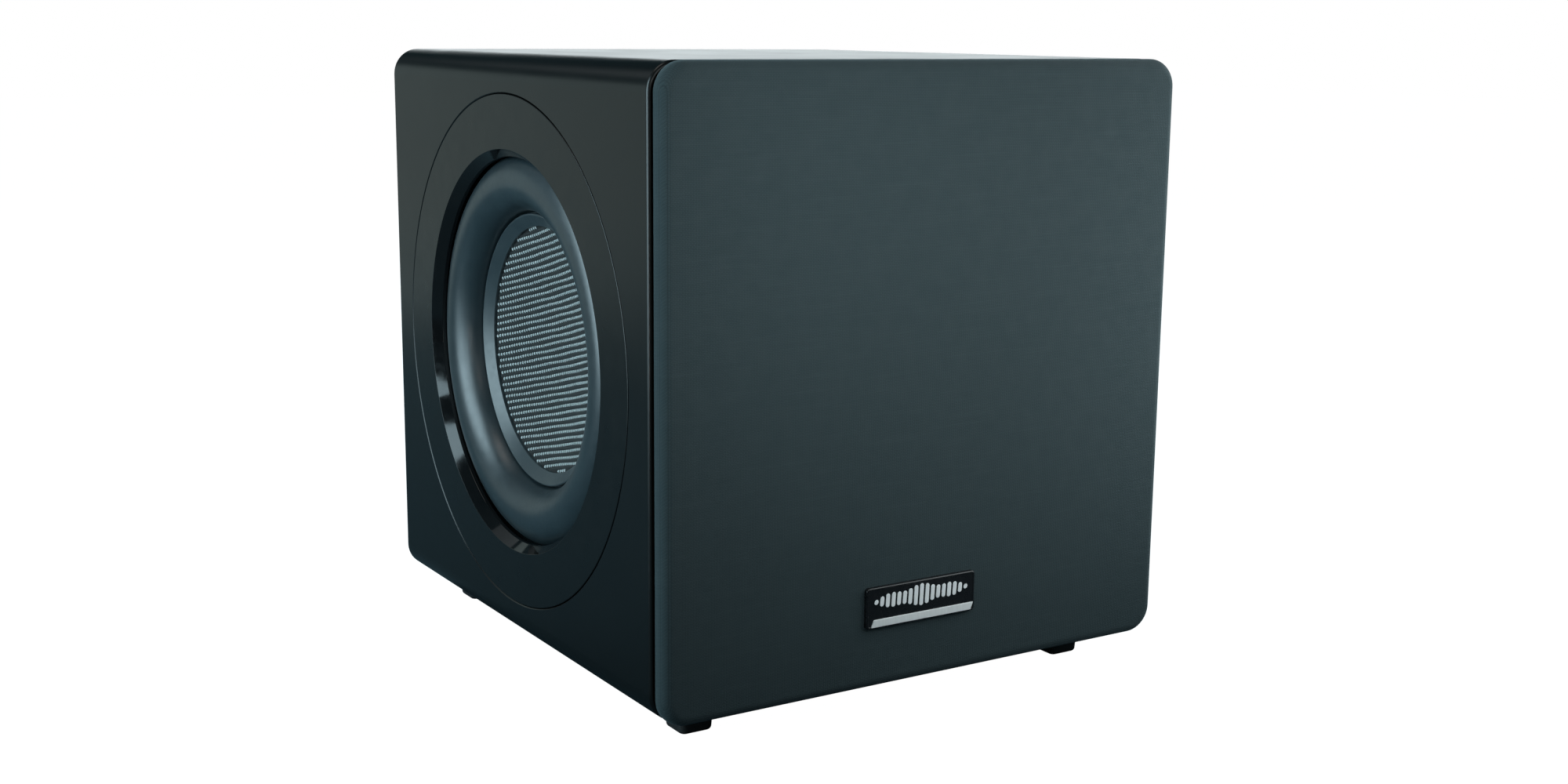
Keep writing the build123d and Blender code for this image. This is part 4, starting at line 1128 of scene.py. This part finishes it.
# Name, place, target, width, height, power and colour.
for light in (
        ("front_near", (-0.052, -0.22, 0.207), (-0.026, -0.12, 0.17), 0.18, 0.18, 0.145, COOL),
        ("front_right", (0.162, -0.216, 0.188), (0.05, -0.12, 0.17), 0.24, 0.24, 0.42, COOL),
        ("left_panel", (-0.64, 0.04, 0.29), (-0.12, 0.0, 0.13), 0.38, 0.54, 3.35, BLUE),
        ("low_strip", (-0.60, -0.46, 0.13), (-0.12, 0.05, 0.10), 0.014, 0.10, 0.014, COOL),
        ("roll_strip", (-0.66, -0.23, 0.20), (-0.12, -0.04, 0.15), 0.10, 0.30, 0.5, BLUE),
        ("edge_glint", (-0.42, -0.27, 0.10), (-0.1165, -0.125, 0.20), 0.02, 0.035, 0.05, WARM),
        ("back_left", (-0.40, 0.62, 0.21), (-0.12, 0.0, 0.15), 0.5, 0.34, 0.20, (0.82, 1.0, 0.97)),
        ("back_right", (1.06, 1.65, 0.40), (0, 0, 0.24), 1.6, 0.6, 7, COOL),
        ("top_left", (-0.35, 0.12, 1.2), (0, 0.05, 0.25), 0.5, 0.5, 1.2, WARM),
        ("edge_panel", (-0.62, 1.2, 0.98), (-0.11, -0.08, 0.23), 0.6, 0.4, 0.20, COOL),
        ("edge_strip", (-0.62, -0.95, 0.62), shell_mid, 0.05, 0.25, 0.4, WARM),
        ("behind", (0.10, 1.10, 0.75), (0, 0.12, 0.13), 0.5, 0.4, 26, COOL),
        ("far_right", (1.2, 0.0, 0.55), (0.12, 0, 0.13), 0.5, 0.5, 6, COOL)):
    area_light(*light)
bpy.data.objects["behind"].visible_glossy = False

world = bpy.data.worlds.new("studio")
bpy.context.scene.world = world
world.use_nodes = True
world_tree = world.node_tree
world_tree.nodes.clear()
world_output = add(world_tree, "ShaderNodeOutputWorld")
white_room = add(world_tree, "ShaderNodeBackground", {"Color": (1, 1, 1, 1), "Strength": 1.0})
dim_room = add(world_tree, "ShaderNodeBackground", {"Color": (0.35, 0.80, 1.0, 1), "Strength": 0.045})
camera_only(world_tree, white_room, dim_room, world_output)
bpy.context.scene.view_settings.view_transform = "Standard"

# The camera was fitted to the outline: angles in radians, distances in cabinet heights.
SENSOR, LENS = 36.0, 43.345
AZIMUTH, ELEVATION, ROLL_TURN = -0.564188, 0.191911, 0.00957
SHIFT_RIGHT, SHIFT_UP, DISTANCE = 0.039131, -0.108172, 3.439194
grille_front = (FRONT @ Vector((0, 0, CLOTH_OUT * MM))).y
centre = Vector((shell_mid.x, (grille_front + shell_high.y) / 2, shell_mid.z))
back = Vector((sin(AZIMUTH) * cos(ELEVATION), -cos(AZIMUTH) * cos(ELEVATION), sin(ELEVATION)))
right = Vector((cos(AZIMUTH), sin(AZIMUTH), 0))
up = back.cross(right)
turned_right = cos(ROLL_TURN) * right + sin(ROLL_TURN) * up
turned_up = -sin(ROLL_TURN) * right + cos(ROLL_TURN) * up
camera_data = bpy.data.cameras.new("camera")
camera_data.sensor_width, camera_data.lens = SENSOR, LENS
camera = new_object("camera", camera_data)
matrix = Matrix((turned_right, turned_up, back)).transposed().to_4x4()
matrix.translation = centre + CABINET_H * MM * (SHIFT_RIGHT * right + SHIFT_UP * up + DISTANCE * back)
camera.matrix_world = matrix
bpy.context.scene.camera = camera
